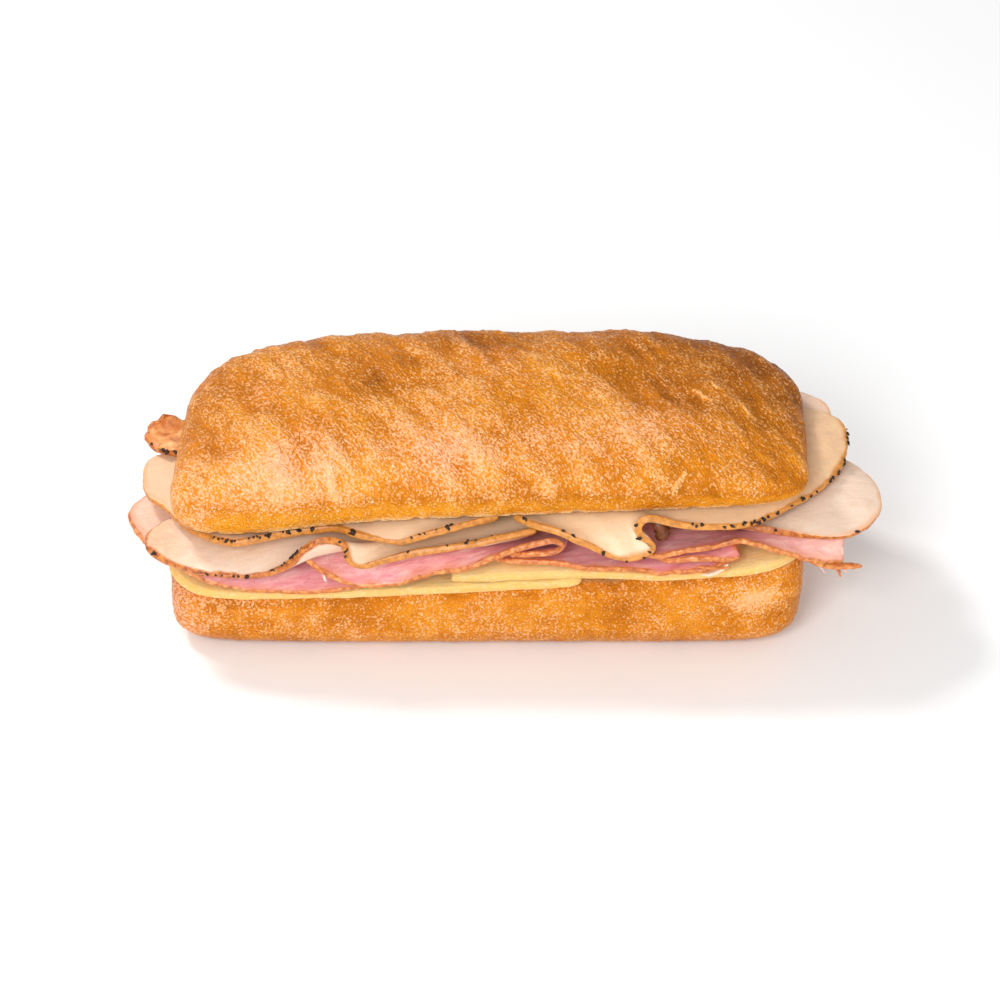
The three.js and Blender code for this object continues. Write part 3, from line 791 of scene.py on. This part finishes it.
def ham_material():
    """Moist pink ham: pale fibres and marbling, a smoked orange-brown skin at the edge."""
    material, w, surface = new_material(
        "Smoked Ham", specular_ior_level=0.5, coat_weight=0.2, coat_roughness=0.2,
        subsurface_weight=0.22, subsurface_scale=0.003, subsurface_radius=(1.0, 0.5, 0.45),
    )
    grain = w.group(GRAIN, fibre=1.5)
    flesh = w.ramp(grain["Grain"], (0.25, "#da8a90"), (0.5, "#e9a5a6"), (0.8, "#f6cdc8"))
    flesh = w.mix(w.times(w.span(grain["Cloud"], 0.4, 0.65), 0.5), flesh, "#df909a")
    marbling = w.span(w.noise(w.place(25, (3, 1, 1)), 5, 3, 0.5, 1.2), 0.6, 0.7, 0, 0.5)
    flesh = w.mix(marbling, flesh, "#f7d3c6")
    flesh = w.mix(w.attribute("pale"), flesh, "#f0cdb4")
    skin = w.group(SKIN, width=1.0, tint=3.6)
    flesh = w.mix(w.times(skin["Glow"], 0.55), flesh, "#df8c5a")
    patchy = w.noise(w.place(), 1.5, 4, 0.65)
    rind = w.ramp(patchy, (0.3, "#944614"), (0.5, "#cb7430"), (0.74, "#edae66"))
    w.feed(surface["Base Color"], w.mix(skin["Skin"], flesh, rind))
    w.feed(surface["Roughness"], w.span(grain["Grain"], 0.3, 0.8, 0.3, 0.46))
    normal = w.bump(grain["Grain"], 0.2)
    w.feed(surface["Normal"], w.bump(w.noise(w.place(), 2.4, 3), 0.25, normal))
    return material


def turkey_material():
    """Cooked turkey breast: smooth cream flesh, faint fibres, a roasted brown skin at the edge."""
    material, w, surface = new_material(
        "Roast Turkey", specular_ior_level=0.5, coat_weight=0.1, coat_roughness=0.25,
        subsurface_weight=0.25, subsurface_scale=0.003, subsurface_radius=(1.0, 0.62, 0.42),
    )
    golden = w.attribute("golden")
    grain = w.group(GRAIN, fibre=0.6)
    flesh = w.ramp(grain["Grain"], (0.25, "#dab899"), (0.5, "#e6cbb4"), (0.8, "#eedccc"))
    flesh = w.mix(w.times(w.span(grain["Cloud"], 0.35, 0.75), 0.45), flesh, "#e8cfbe")
    # Golden tint of flesh and rind; on the front left slice it is painted warm shade.
    flesh = w.mix(golden, flesh, "#e9c08c")
    toasting = w.noise(w.place(), 3.2, 4, 0.6)
    toasted = w.ramp(toasting, (0.35, "#b8600f"), (0.5, "#e0923e"), (0.66, "#f2bc74"))
    flesh = w.mix(w.attribute("browned"), flesh, toasted)
    skin = w.group(SKIN, width=0.85, tint=2.2)
    flesh = w.mix(w.times(skin["Glow"], 0.6), flesh, "#de9650")
    patchy = w.noise(w.place(), 1.4, 4, 0.65)
    rind = w.ramp(patchy, (0.3, "#6c2e06"), (0.48, "#b8621c"), (0.74, "#e29c4a"))
    rind = w.mix(w.times(golden, 0.7), rind, "#dca040")
    # Painted shade and browning: the rolled bit's rind darkened to deep brown.
    rind = w.mix(w.attribute("scorch_and_shade"), rind, "#5c2c0e")
    w.feed(surface["Base Color"], w.mix(skin["Skin"], flesh, rind))
    w.feed(surface["Roughness"], w.span(grain["Grain"], 0.3, 0.8, 0.36, 0.5))
    normal = w.bump(grain["Grain"], 0.1)
    w.feed(surface["Normal"], w.bump(w.noise(w.place(), 2.0, 3), 0.15, normal))
    return material


def pepper_material():
    """Cracked black pepper: nearly black with brown broken faces."""
    material, w, surface = new_material("Cracked Pepper", specular_ior_level=0.4)
    crack = w.noise(w.place(), 0.35, 2)
    colour = w.ramp(crack, (0.35, "#17100d"), (0.6, "#35211a"), (0.8, "#6b4526"))
    w.feed(surface["Base Color"], colour)
    w.feed(surface["Roughness"], w.span(crack, 0.3, 0.7, 0.4, 0.7))
    return material


CRUST = crust_material()
SLICED = {"cheese": cheese_material(), "ham": ham_material(), "turkey": turkey_material()}
PEPPER_GRAINS = pepper_material()


# ------------------------------------------------------------------ bread


def cut_height(cut, x, y):
    """Height of a cut: a plane tilted along X and Y, bowed along X."""
    return cut["middle"] + cut["along_x"] * x + cut["along_y"] * y + cut["bow"] * x * x


def ring_outline():
    """Outline points and the spine's x for even steps round a box, as part of a superellipse."""
    turn = 4 * np.arange(CRUST_STEPS) / CRUST_STEPS
    quarter = np.floor(turn).astype(int)
    along = (turn - quarter) * (HALF_LENGTH + HALF_DEPTH)
    rise = np.where(quarter % 2, HALF_LENGTH + HALF_DEPTH - along, along)
    x = np.where(rise < HALF_DEPTH, HALF_LENGTH, HALF_LENGTH - (rise - HALF_DEPTH))
    y = np.minimum(rise, HALF_DEPTH)
    x = np.where((quarter == 1) | (quarter == 2), -x, x)
    y = np.where(quarter >= 2, -y, y)
    corners = np.where(y < 0, FRONT_CORNERS, BACK_CORNERS)
    reach = (abs(x / HALF_LENGTH) ** corners + abs(y / HALF_DEPTH) ** corners) ** (-1 / corners)
    return x * reach, y * reach, HALF_SPINE * x / HALF_LENGTH


def rings_between(reach):
    """x and y of rings, each this share of the way from the loaf's spine to its outline."""
    out_x, out_y, spine_x = ring_outline()
    return lerp(spine_x, out_x, reach[:, None]), out_y * reach[:, None]


def crust_relief(x, y):
    """Slow unevenness, and creases as bell-shaped valleys with a lower ridge along one side."""
    relief = slow_waves(x, y, CROWN_WAVES)
    valley = np.zeros_like(relief)
    share, beside = CREASE_RIDGE
    for middle_x, middle_y, degrees, length, width, depth in CREASES:
        run, off = along_line(x, y, middle_x, middle_y, degrees)
        fade = depth * bell(2 * run / length)
        valley += fade * bell(off / width)
        relief += share * fade * bell(off / width + beside)
    return relief - valley, valley


def bright_ridges(x, y):
    """Short thin ridges that stand proud of the crust, as narrow bells round a swaying line."""
    ridge = np.zeros_like(x)
    sway, over = RIDGE_SWAY
    for middle_x, middle_y, degrees, length, width in RIDGES:
        run, off = along_line(x, y, middle_x, middle_y, degrees)
        off = off + sway * np.sin(run / over)
        ridge = np.maximum(ridge, bell((2 * run / length) ** 2) * bell(off / width))
    return ridge


def crust_folds(grid, seed):
    """Long wrinkles, -1 to 1: layered noise drawn out along the loaf's wrinkle direction."""
    c, s = cos(radians(WRINKLE_TURN)), sin(radians(WRINKLE_TURN))
    turned = grid @ np.array([[c, -s, 0], [s, c, 0], [0, 0, 1]])
    return layered_noise(turned / WRINKLE_STRETCH, WRINKLE_SIZE, seed)


def crust_skin(grid, seed, strength):
    """Height of the baked skin in mm: long wrinkles, round blisters and fine grain of noise."""
    across, high = BLISTERS
    skin = WRINKLE_DEPTH * crust_folds(grid, seed)
    skin += high * smooth(nearest_blister(grid, across, seed + 5), 0.6, 0.15)
    across, high = CRUST_GRAIN
    skin += high * layered_noise(grid, across, seed + 9, 2)
    return strength * skin


def crumb_pits(grid, seed):
    """Depth of the open crumb in mm: round pores of two sizes."""
    (wide, deep), (narrow, shallow) = LARGE_PORES, SMALL_PORES
    large = smooth(nearest_blister(grid, wide, seed), 0.45, 0.1)
    small = smooth(nearest_blister(grid, narrow, seed + 3), 0.4, 0.1)
    return deep * large + shallow * small


def sweep_profile(sharp, count):
    """Evenly spaced points of a profile line of (reach, rise) points, measured in mm."""
    walked = run_length(sharp * (HALF_DEPTH, LOAF_HEIGHT - CROWN_CUT["middle"]))
    return points_at(sharp, walked, np.linspace(0, walked[-1], count))


def bread_shell(name, grid, **values):
    """The bread's skin from rings of points, the first and the last drawn together on the loaf's
    spine."""
    faces = grid_faces(len(grid), CRUST_STEPS, closed=True)
    weld(make_piece(name + "_bread", grid, faces, CRUST, "crust", node=name, **values))


def build_crown():
    """Top crust: superellipse shoulders over a sloping cut with a hanging lip in front."""
    edge = 1 - CROWN_TUCK / HALF_DEPTH
    under = np.array([[0, 0], [0.6, 0], [0.86, 0], [edge - 0.02, 0]])
    lip = np.array([[edge - 0.02, 0], [edge, 0.03], [0.995, 0.16], [1, CROWN_WIDEST]])
    lip = curve_through(lip, np.linspace(0, 1, 40))
    angle = np.linspace(0, np.pi / 2, 240)
    c, s = np.maximum(np.cos(angle), 0), np.sin(angle)
    round_off = (c**SHOULDERS + s**SHOULDERS) ** (-1 / SHOULDERS)
    dome = np.stack([c * round_off, lerp(CROWN_WIDEST, 1, s * round_off)], -1)
    dome[-1] = 0, 1
    outside = sweep_profile(np.vstack([lip, dome[1:]]), CROWN_RINGS)
    profile = np.vstack([sweep_profile(under, CUT_RINGS)[:-1], outside])
    reach, rise = profile[:, 0], profile[:, 1][:, None]

    x, y = rings_between(reach)
    forward = np.maximum(0, (y - LIP["from"]) / (-HALF_DEPTH - LIP["from"])) ** 2
    drop = forward * (LIP["even"] + LIP["drop"] * bell((x - LIP["x"]) / LIP["width"]))
    bottom = cut_height(CROWN_CUT, x, y) - drop * (1 - rise)
    top = LOAF_HEIGHT - CROWN_END_DROP * (x / HALF_LENGTH) ** 4
    taper = np.where(x < 0, CROWN_BACK_TAPER["left"], CROWN_BACK_TAPER["right"])
    backward = (y + HALF_DEPTH) / LOAF_DEPTH
    relief, valley = crust_relief(x, y)
    ridge = bright_ridges(x, y) * smooth(rise, 0.3, 0.5)
    z = lerp(bottom, top, rise) + relief * rise**2 + RIDGE_HEIGHT * ridge
    grid = np.stack([x * (1 - taper * backward), y, z], -1)

    baked = smooth(rise, 0.0, 0.1) * np.ones_like(x)
    normal = grid_normals(grid, closed=True)
    skin = crust_skin(grid, 3, lerp(0.35, 1, smooth(rise, 0.2, 0.75)))
    folds = crust_folds(grid, 3) * smooth(rise, 0.15, 0.5)
    pits = crumb_pits(grid, 21) * (1 - baked) * smooth(reach, 0.7, 0.9)[:, None]
    grid = grid + normal * ((skin - CROWN_SINK) * baked - pits)[..., None]

    peach = 0
    for middle_x, middle_y, along, across, strength in PEACH_PATCHES:
        peach = peach + strength * bell((x - middle_x) / along) * bell((y - middle_y) / across)
    shoulder = bell((rise - SHOULDER_LINE) / 0.09)
    tone = (
        0.46
        + 0.22 * smooth(y, -8, 36)
        + 0.26 * smooth(x, 15, 80) * smooth(y, -36, 4)
        + 0.06 * smooth(x, -10, 40)
        + 0.10 * smooth(x, -60, -92) * smooth(y, -20, 10)
        - 0.14 * peach
        + 0.10 * shoulder
        + 0.16 * valley
        - 0.30 * ridge
        - 0.10 * folds
        - 0.06 * (1 - smooth(rise, 0.15, 0.4))
        + 0.08 * layered_noise(grid, 24, 31)
        + 0.06 * layered_noise(grid, 8, 35)
    )
    uneven = SHOULDER_LINE + 0.05 * layered_noise(grid, 15, 51, 4)
    uneven -= 0.4 * smooth(x, LIP_END[0], LIP_END[1])
    above = smooth(rise, uneven - 0.16, uneven + 0.1)
    rosy = above * (0.35 + 0.55 * peach + 0.25 * layered_noise(grid, 16, 41))
    flour = (
        0.35
        + 0.11 * above
        + 0.26 * peach * above
        - 0.10 * smooth(x, 20, 80)
        - 0.08 * smooth(y, 0, 35)
        - 0.10 * valley
        + 0.13 * folds
        + 0.5 * ridge
        + 0.06 * layered_noise(grid, 14, 45)
    )
    rosy = np.clip(rosy, 0, 1)
    bread_shell("crown", grid, tone=tone, rosy=rosy, flour=flour, crumb=1 - baked)


def build_heel():
    """Bottom crust: flat underside, round lower edge, a slanting right end, a sloping cut."""
    inset = HEEL_EDGE_RADIUS / HALF_DEPTH
    angle = np.linspace(0, np.pi / 2, HEEL_RINGS // 2)
    arc = np.stack([1 - inset * (1 - np.sin(angle)), HEEL_EDGE_RADIUS * (1 - np.cos(angle))], -1)
    shares = np.linspace(0, 1, HEEL_RINGS // 2)[1:]
    tuck = np.interp(shares, [0.5, 0.92, 1], [0, HEEL_TUCK, HEEL_TUCK + 1])
    under = np.linspace(0, 1 - inset, 5)[:-1]
    over = np.linspace(1 - (HEEL_TUCK + 1) / HALF_DEPTH, 0, CUT_RINGS)[1:]
    reach = np.concatenate([under, arc[:, 0], 1 - tuck / HALF_DEPTH, over])
    x, y = rings_between(reach)
    top = cut_height(HEEL_CUT, x, y)
    lift = np.concatenate([0 * under, arc[:, 1]])[:, None] * np.ones_like(x[0])
    share = np.concatenate([shares, np.ones_like(over)])[:, None]
    z = np.vstack([lift, lerp(HEEL_EDGE_RADIUS, top[len(lift) :], share)])
    slant = HEEL_RIGHT_SLANT * (1 - z / top) * np.maximum(0, x / HALF_LENGTH) ** 4
    grid = np.stack([x - slant, y, z], -1)

    cut = np.concatenate([np.zeros(len(reach) - len(over)), np.ones(len(over))])[:, None]
    cut = cut * np.ones_like(x)
    normal = grid_normals(grid, closed=True)
    side = smooth(z, 0.5, 5) * (1 - cut)
    skin = crust_skin(grid, 61, HEEL_ROUGHNESS) * side
    pits = crumb_pits(grid, 71) * cut * smooth(reach, 0.7, 0.9)[:, None]
    notch = bell((x - NOTCH["x"]) / NOTCH["width"]) * bell((z - top) / NOTCH["height"]) * (y < 0)
    grid = grid + normal * (skin - HEEL_SINK * side - pits)[..., None]
    grid[..., 2] -= NOTCH["depth"] * notch
    tone = (
        0.5
        + 0.10 * layered_noise(grid, 18, 81)
        + 0.08 * layered_noise(grid, 6, 85)
        + 0.12 * smooth(y, 0, 38)
        + 0.14 * bell((z - top + 1.5) / 1.6)
    )
    rosy = 0.4 + 0.5 * smooth(x, -72, -90) + 0.2 * layered_noise(grid, 15, 91)
    patch = bell((x - HEEL_PATCH["x"]) / HEEL_PATCH["width"])
    patch *= bell((z - HEEL_PATCH["z"]) / HEEL_PATCH["height"]) * smooth(-y, 0, 20)
    flour = 0.36 + 0.2 * smooth(x, -60, -90) + 0.12 * layered_noise(grid, 9, 95) + 0.5 * patch
    tone -= 0.35 * patch
    rosy = np.clip(rosy, 0, 1)
    bread_shell("heel", grid, tone=tone, rosy=rosy, flour=flour, crumb=cut)


# ------------------------------------------------------------------ slices


def layer_height(x, y, level):
    """Height of the stack's layer at this level, with the stack's bulge and slow waves."""
    bulge = STACK_BULGE * np.cos(np.pi * y / BULGE_DEPTH)
    flat = lerp(cut_height(HEEL_CUT, x, y), cut_height(CROWN_CUT, x, y), level)
    return flat + (bulge + slow_waves(x, y, STACK_WAVES)) * np.sin(np.pi * level**1.2)


def slice_grid(spec, thick):
    """Middle surface of a slice: straight columns from its rim to its hidden outline, lifted
    near the rim by the square of the share of the drape left, so that they meet its curve."""
    rim = spec["rim"]
    levels = np.array([point[3] if len(point) > 3 else spec["level"] for point in rim])
    plan = np.array([point[:2] for point in rim], dtype=float)
    lying = layer_height(plan[:, 0], plan[:, 1], levels)
    height = [point[2] + thick / 2 if len(point) > 2 else z for point, z in zip(rim, lying)]
    edge = np.column_stack([plan, height])
    flat = np.column_stack([plan, np.zeros(len(rim))])
    if "pleat" in spec:
        first, last = spec["pleat"]
        share = np.linspace(0, 1, last - first + 1)[:, None]
        flat[first : last + 1] = lerp(flat[first], flat[last], share)

    dense = np.linspace(0, 1, 60 * len(rim))
    drawn = curve_through(edge, dense)
    count = int(run_length(drawn)[-1] / COLUMN_WIDTH)
    t = even_steps(drawn, count)
    own = np.interp(t * (len(rim) - 1), np.arange(len(rim)), levels)
    start, front = curve_through(flat, t), curve_through(edge, t)

    hidden = np.array([(*point, 0.0) for point in spec["back"]])
    ends = [(flat[0], hidden[0]), (flat[-1], hidden[-1])]
    near = [a + (b - a) * SLICE_END_WIDTH / np.linalg.norm(b - a) for a, b in ends]
    outline = curve_through(np.vstack([near[0], hidden, near[1]]), np.linspace(0, 1, 800))
    walked, behind = run_length(start), run_length(outline)
    finish = points_at(outline, behind, walked / walked[-1] * behind[-1])

    length = np.linalg.norm(finish - start, axis=1)[None, :]
    nose = np.array([0, 0.04, 0.14, 0.32, 0.6, 1.0])
    rest = np.linspace(0, 1, SLICE_ROWS - len(nose) + 1)[1:, None] ** 1.6
    away = np.vstack([nose[:, None] * np.ones_like(length), nose[-1] + (length - nose[-1]) * rest])
    away = np.minimum(away, length)
    grid = start + (finish - start) * (away / length)[..., None]
    level = own * np.ones_like(away)
    if "settle" in spec:
        level = lerp(own, spec["level"], smooth(away, *spec["settle"]))
    lift = front - start
    lift[:, 2] -= layer_height(start[:, 0], start[:, 1], own)
    hang = np.maximum(0, 1 - away / spec.get("drape", DRAPE)) ** 2
    grid[..., 2] = layer_height(grid[..., 0], grid[..., 1], level)
    return grid + lift * hang[..., None], away


def build_slice(name, spec, seed):
    """A slice: its middle surface moved up and down by half a thickness that swells from zero
    at every edge by a superellipse, with a ragged rim and fine waves."""
    kind = name.split("_")[0]
    grid, away = slice_grid(spec, THICKNESS[kind])
    rows, columns = away.shape
    sideways = run_length(grid, axis=1)
    to_right = sideways[:, -1:] - sideways
    inward = np.maximum(np.minimum.reduce([away, away[-1] - away, sideways, to_right]), 0)
    into = unit(np.gradient(grid, axis=0))
    rim = grid[:1] * np.ones((rows, 1, 1))
    jag = 1 + layered_noise(rim, 4, seed) + 0.6 * noise(rim, 1.3, seed + 7)
    jag = RAGGED.get(name, RAGGED[kind]) * jag
    grid = grid + into * (jag * np.exp(-away / 2.5))[..., None]
    along = unit(np.gradient(grid, axis=1))
    end = grid[:, -1:] * np.ones((1, columns, 1))
    tear = TORN.get(name, 0) * layered_noise(end, 5, seed + 3, 4)
    grid = grid + along * (tear * np.exp(-to_right / 3))[..., None]
    normal = grid_normals(grid)
    wave = WAVY.get(name, USUAL_WAVE) * layered_noise(grid, 7, seed + 11)
    wave += 0.05 * layered_noise(grid, 2.2, seed + 13, 2)
    grid = grid + normal * wave[..., None]

    swell = 1 - np.clip(1 - inward / EDGE_ROUND, 0, 1) ** EDGE_POWER
    half = THICKNESS[kind] / 2 * swell ** (1 / EDGE_POWER)
    half = half * (0.94 + 0.08 * noise(grid, 6, seed + 17))
    up, down = grid + normal * half[..., None], grid - normal * half[..., None]
    faces = grid_faces(rows, columns)
    both = np.vstack([faces, faces[:, ::-1] + rows * columns])
    x, y = grid[..., 0], grid[..., 1]
    tints = {"inward": inward, "scorch_and_shade": 0} | slice_tints(name, x, y)
    values = {label: np.stack([tint * np.ones_like(x)] * 2) for label, tint in tints.items()}
    values["node"] = spec.get("node", name)
    weld(make_piece(name + "_slice", np.stack([up, down]), both, SLICED[kind], kind, **values))
    return up, normal, inward


def slice_tints(name, x, y):
    """How pale, golden and browned a slice's flesh is, and its skin's width, over its plan; the
    front left turkey's golden is painted warm shade.
    """
    tints = {"pale": 0, "golden": 0, "browned": 0, "roast": 1}
    if name == "ham_left":
        tints["pale"] = 0.9 * smooth(x, -78, -94)
    if name == "ham_torn":
        tints["pale"] = 0.45 * smooth(x, 70, 96)
    if name == "turkey_front_left":
        # Painted warm shade: the right part lies in shade under the slice above.
        tints["golden"] = 0.5 * smooth(x, -50, -34)
        tints["browned"] = 0.35 * smooth(x, -79, -95)
        tints["roast"] = lerp(1.9, 2.7, bell((x + 62) / 16))
    if name == "turkey_top_left":
        tints["golden"] = 0.5
        tints["roast"] = lerp(0.3, 1.9, smooth(x, -84, -72)) + 0.5 * bell((x + 24) / 14)
    if name == "turkey_curled_left":
        tints["browned"] = 0.85
    if name == "turkey_low_right":
        tints["roast"] = lerp(0.55, 0.3, smooth(x, 90, 108))
    if name == "turkey_low_back":
        tints["browned"] = 0.12
        tints["roast"] = 0.3
    if name == "turkey_top_right":
        tints["golden"] = 0.6
        tints["browned"] = 0.2 * smooth(x, 60, 90)
        tints["roast"] = lerp(1.9, 1.4, smooth(y, -20, 0))
    return tints


# ------------------------------------------------------------------ pepper and loose shreds


def grain_shape(rng):
    """Corners and triangles of one broken peppercorn: the hull of random points on a ball."""
    work = bmesh.new()
    points = unit(rng.normal(size=(GRAIN_CORNERS, 3)))
    for point in points * rng.uniform(0.75, 1.1, (GRAIN_CORNERS, 1)):
        work.verts.new(point)
    bmesh.ops.convex_hull(work, input=work.verts)
    bmesh.ops.triangulate(work, faces=work.faces)
    bmesh.ops.delete(work, geom=[v for v in work.verts if not v.link_faces], context="VERTS")
    work.verts.index_update()
    corners = np.array([vert.co[:] for vert in work.verts])
    triangles = np.array([[vert.index for vert in face.verts] for face in work.faces])
    work.free()
    return corners, triangles


def build_pepper(laid):
    """Seeded grains on the slices' skins: each grain lies flat on a random point of the front
    edge, turned about the skin's normal, with size from a skewed random spread."""
    rng = np.random.default_rng(7)
    shapes = [grain_shape(rng) for _ in range(GRAIN_SHAPES)]
    least, more = GRAIN_SIZE
    grains = []
    for name, clusters in PEPPER.items():
        up, normal, inward = laid[name]
        skin = grid_normals(up)
        skin *= np.sign((skin * normal).sum(-1, keepdims=True))
        for start, stop, number in clusters:
            x, y = up[0, :, 0], up[0, :, 1]
            columns = np.flatnonzero((x > start) & (x < stop) & (y < PEPPER_BACK))
            for column in rng.choice(columns, number):
                row = np.searchsorted(inward[:20, column], rng.uniform(0.0, PEPPER_BAND))
                size = least + more * rng.random() ** 1.5
                axes = np.column_stack([skin[row, column], rng.normal(size=(3, 2))])
                axes = np.linalg.qr(axes)[0]
                corners, triangles = shapes[rng.integers(len(shapes))]
                scale = size * np.array([GRAIN_FLATNESS, 1.0, rng.uniform(0.55, 0.9)])
                spot = up[row, column] + 0.2 * size * skin[row, column]
                grains.append((spot + (corners * scale) @ axes.T, triangles))
    make_piece("pepper", *joined(grains), PEPPER_GRAINS, None)


def strand(route, widths, thickness, seed, sides=10, steps=36):
    """Points and faces of a soft strand: flattened rings along a curve through the route, their
    width interpolated, bent by noise and narrowed to a small open tip at both ends."""
    t = np.linspace(0, 1, steps)
    middle = curve_through(np.array(route, float), t)
    middle += 0.12 * np.stack([noise(middle * 1.7, 1.5, seed + k) for k in range(3)], -1)
    ahead = unit(np.gradient(middle, axis=0))
    side = unit(np.cross(ahead, (0, 0, 1.0)))
    across = np.cross(side, ahead)
    angle = 2 * np.pi * np.arange(sides) / sides
    wide = np.interp(t, np.linspace(0, 1, len(widths)), widths)
    wide = wide * np.minimum(1, 6 * np.minimum(t, 1 - t)) ** 0.5
    wide = np.maximum(wide, 0.02)[:, None, None]
    tall = np.minimum(wide, thickness)
    ring = side[:, None] * np.cos(angle)[:, None] * wide
    ring += across[:, None] * np.sin(angle)[:, None] * tall
    grid = middle[:, None] + ring / 2
    grid += 0.06 * noise(grid, 0.7, seed + 5)[..., None] * ring
    return grid.reshape(-1, 3), grid_faces(steps, sides, closed=True)


def build_shreds():
    """The torn ham's tail and strings, the roll, browned and darkened with painted shade, and
    strips of fat, as strands.
    """
    for kind, shreds in SHREDS.items():
        spots, faces = joined([strand(*shred, 40 + k) for k, shred in enumerate(shreds)])
        tints = PLAIN_SHRED | SHRED_TINTS[kind]
        values = {label: np.full(len(spots), tint) for label, tint in tints.items()}
        meat = "turkey" if kind == "rolled" else "ham"
        name = meat + "_" + kind + "_shreds"
        make_piece(name, spots, faces, SLICED[meat], meat, **values)


# ------------------------------------------------------------------ build everything

build_heel()
build_crown()
slices = enumerate(SLICES.items())
laid = {name: build_slice(name, spec, 100 + 20 * k) for k, (name, spec) in slices}
for k, (name, spec) in enumerate(SMALL_FOLDS.items()):
    build_slice(name, spec, 900 + 20 * k)
build_pepper(laid)
build_shreds()


# ------------------------------------------------------------------ floor, light and camera


def facing(place, target):
    """The turn with which a light or the camera at a place looks at its target."""
    return (Vector(target) - Vector(place)).to_track_quat("-Z", "Y").to_euler()


def area_light(name, place, size, watts):
    """A square soft light at a place in metres, turned to the part's middle."""
    data = bpy.data.lights.new(name, "AREA")
    data.size, data.energy = size, watts
    lamp = bpy.data.objects.new(name, data)
    lamp.location = place
    lamp.rotation_euler = facing(place, LIT_POINT)
    bpy.context.collection.objects.link(lamp)


def build_stage():
    """A plain pale floor, soft light from above and in front, and the photograph's camera."""
    material = new_material("Pale Floor", base_color=(0.9, 0.9, 0.9, 1), roughness=0.8)[0]
    bpy.ops.mesh.primitive_plane_add(size=6, location=(0, 0, -0.0002))
    floor = bpy.context.object
    floor.name = "floor"
    floor.data.materials.append(material)

    world = bpy.data.worlds.new("studio")
    world.use_nodes = True
    sky = world.node_tree.nodes["Background"].inputs
    sky["Color"].default_value = (1, 1, 1, 1)
    sky["Strength"].default_value = SKY_STRENGTH
    bpy.context.scene.world = world
    for name, (place, size, watts) in LIGHTS.items():
        area_light(name, place, size, watts)

    data = bpy.data.cameras.new("camera")
    data.lens, data.sensor_width = LENS, SENSOR
    camera = bpy.data.objects.new("camera", data)
    angle = radians(VIEW_HEIGHT_ANGLE)
    camera.location = Vector(VIEW_POINT) + VIEW_DISTANCE * Vector((0, -cos(angle), sin(angle)))
    camera.rotation_euler = facing(camera.location, VIEW_POINT)
    bpy.context.collection.objects.link(camera)
    bpy.context.scene.camera = camera
    bpy.context.scene.view_settings.view_transform = "Standard"


build_stage()
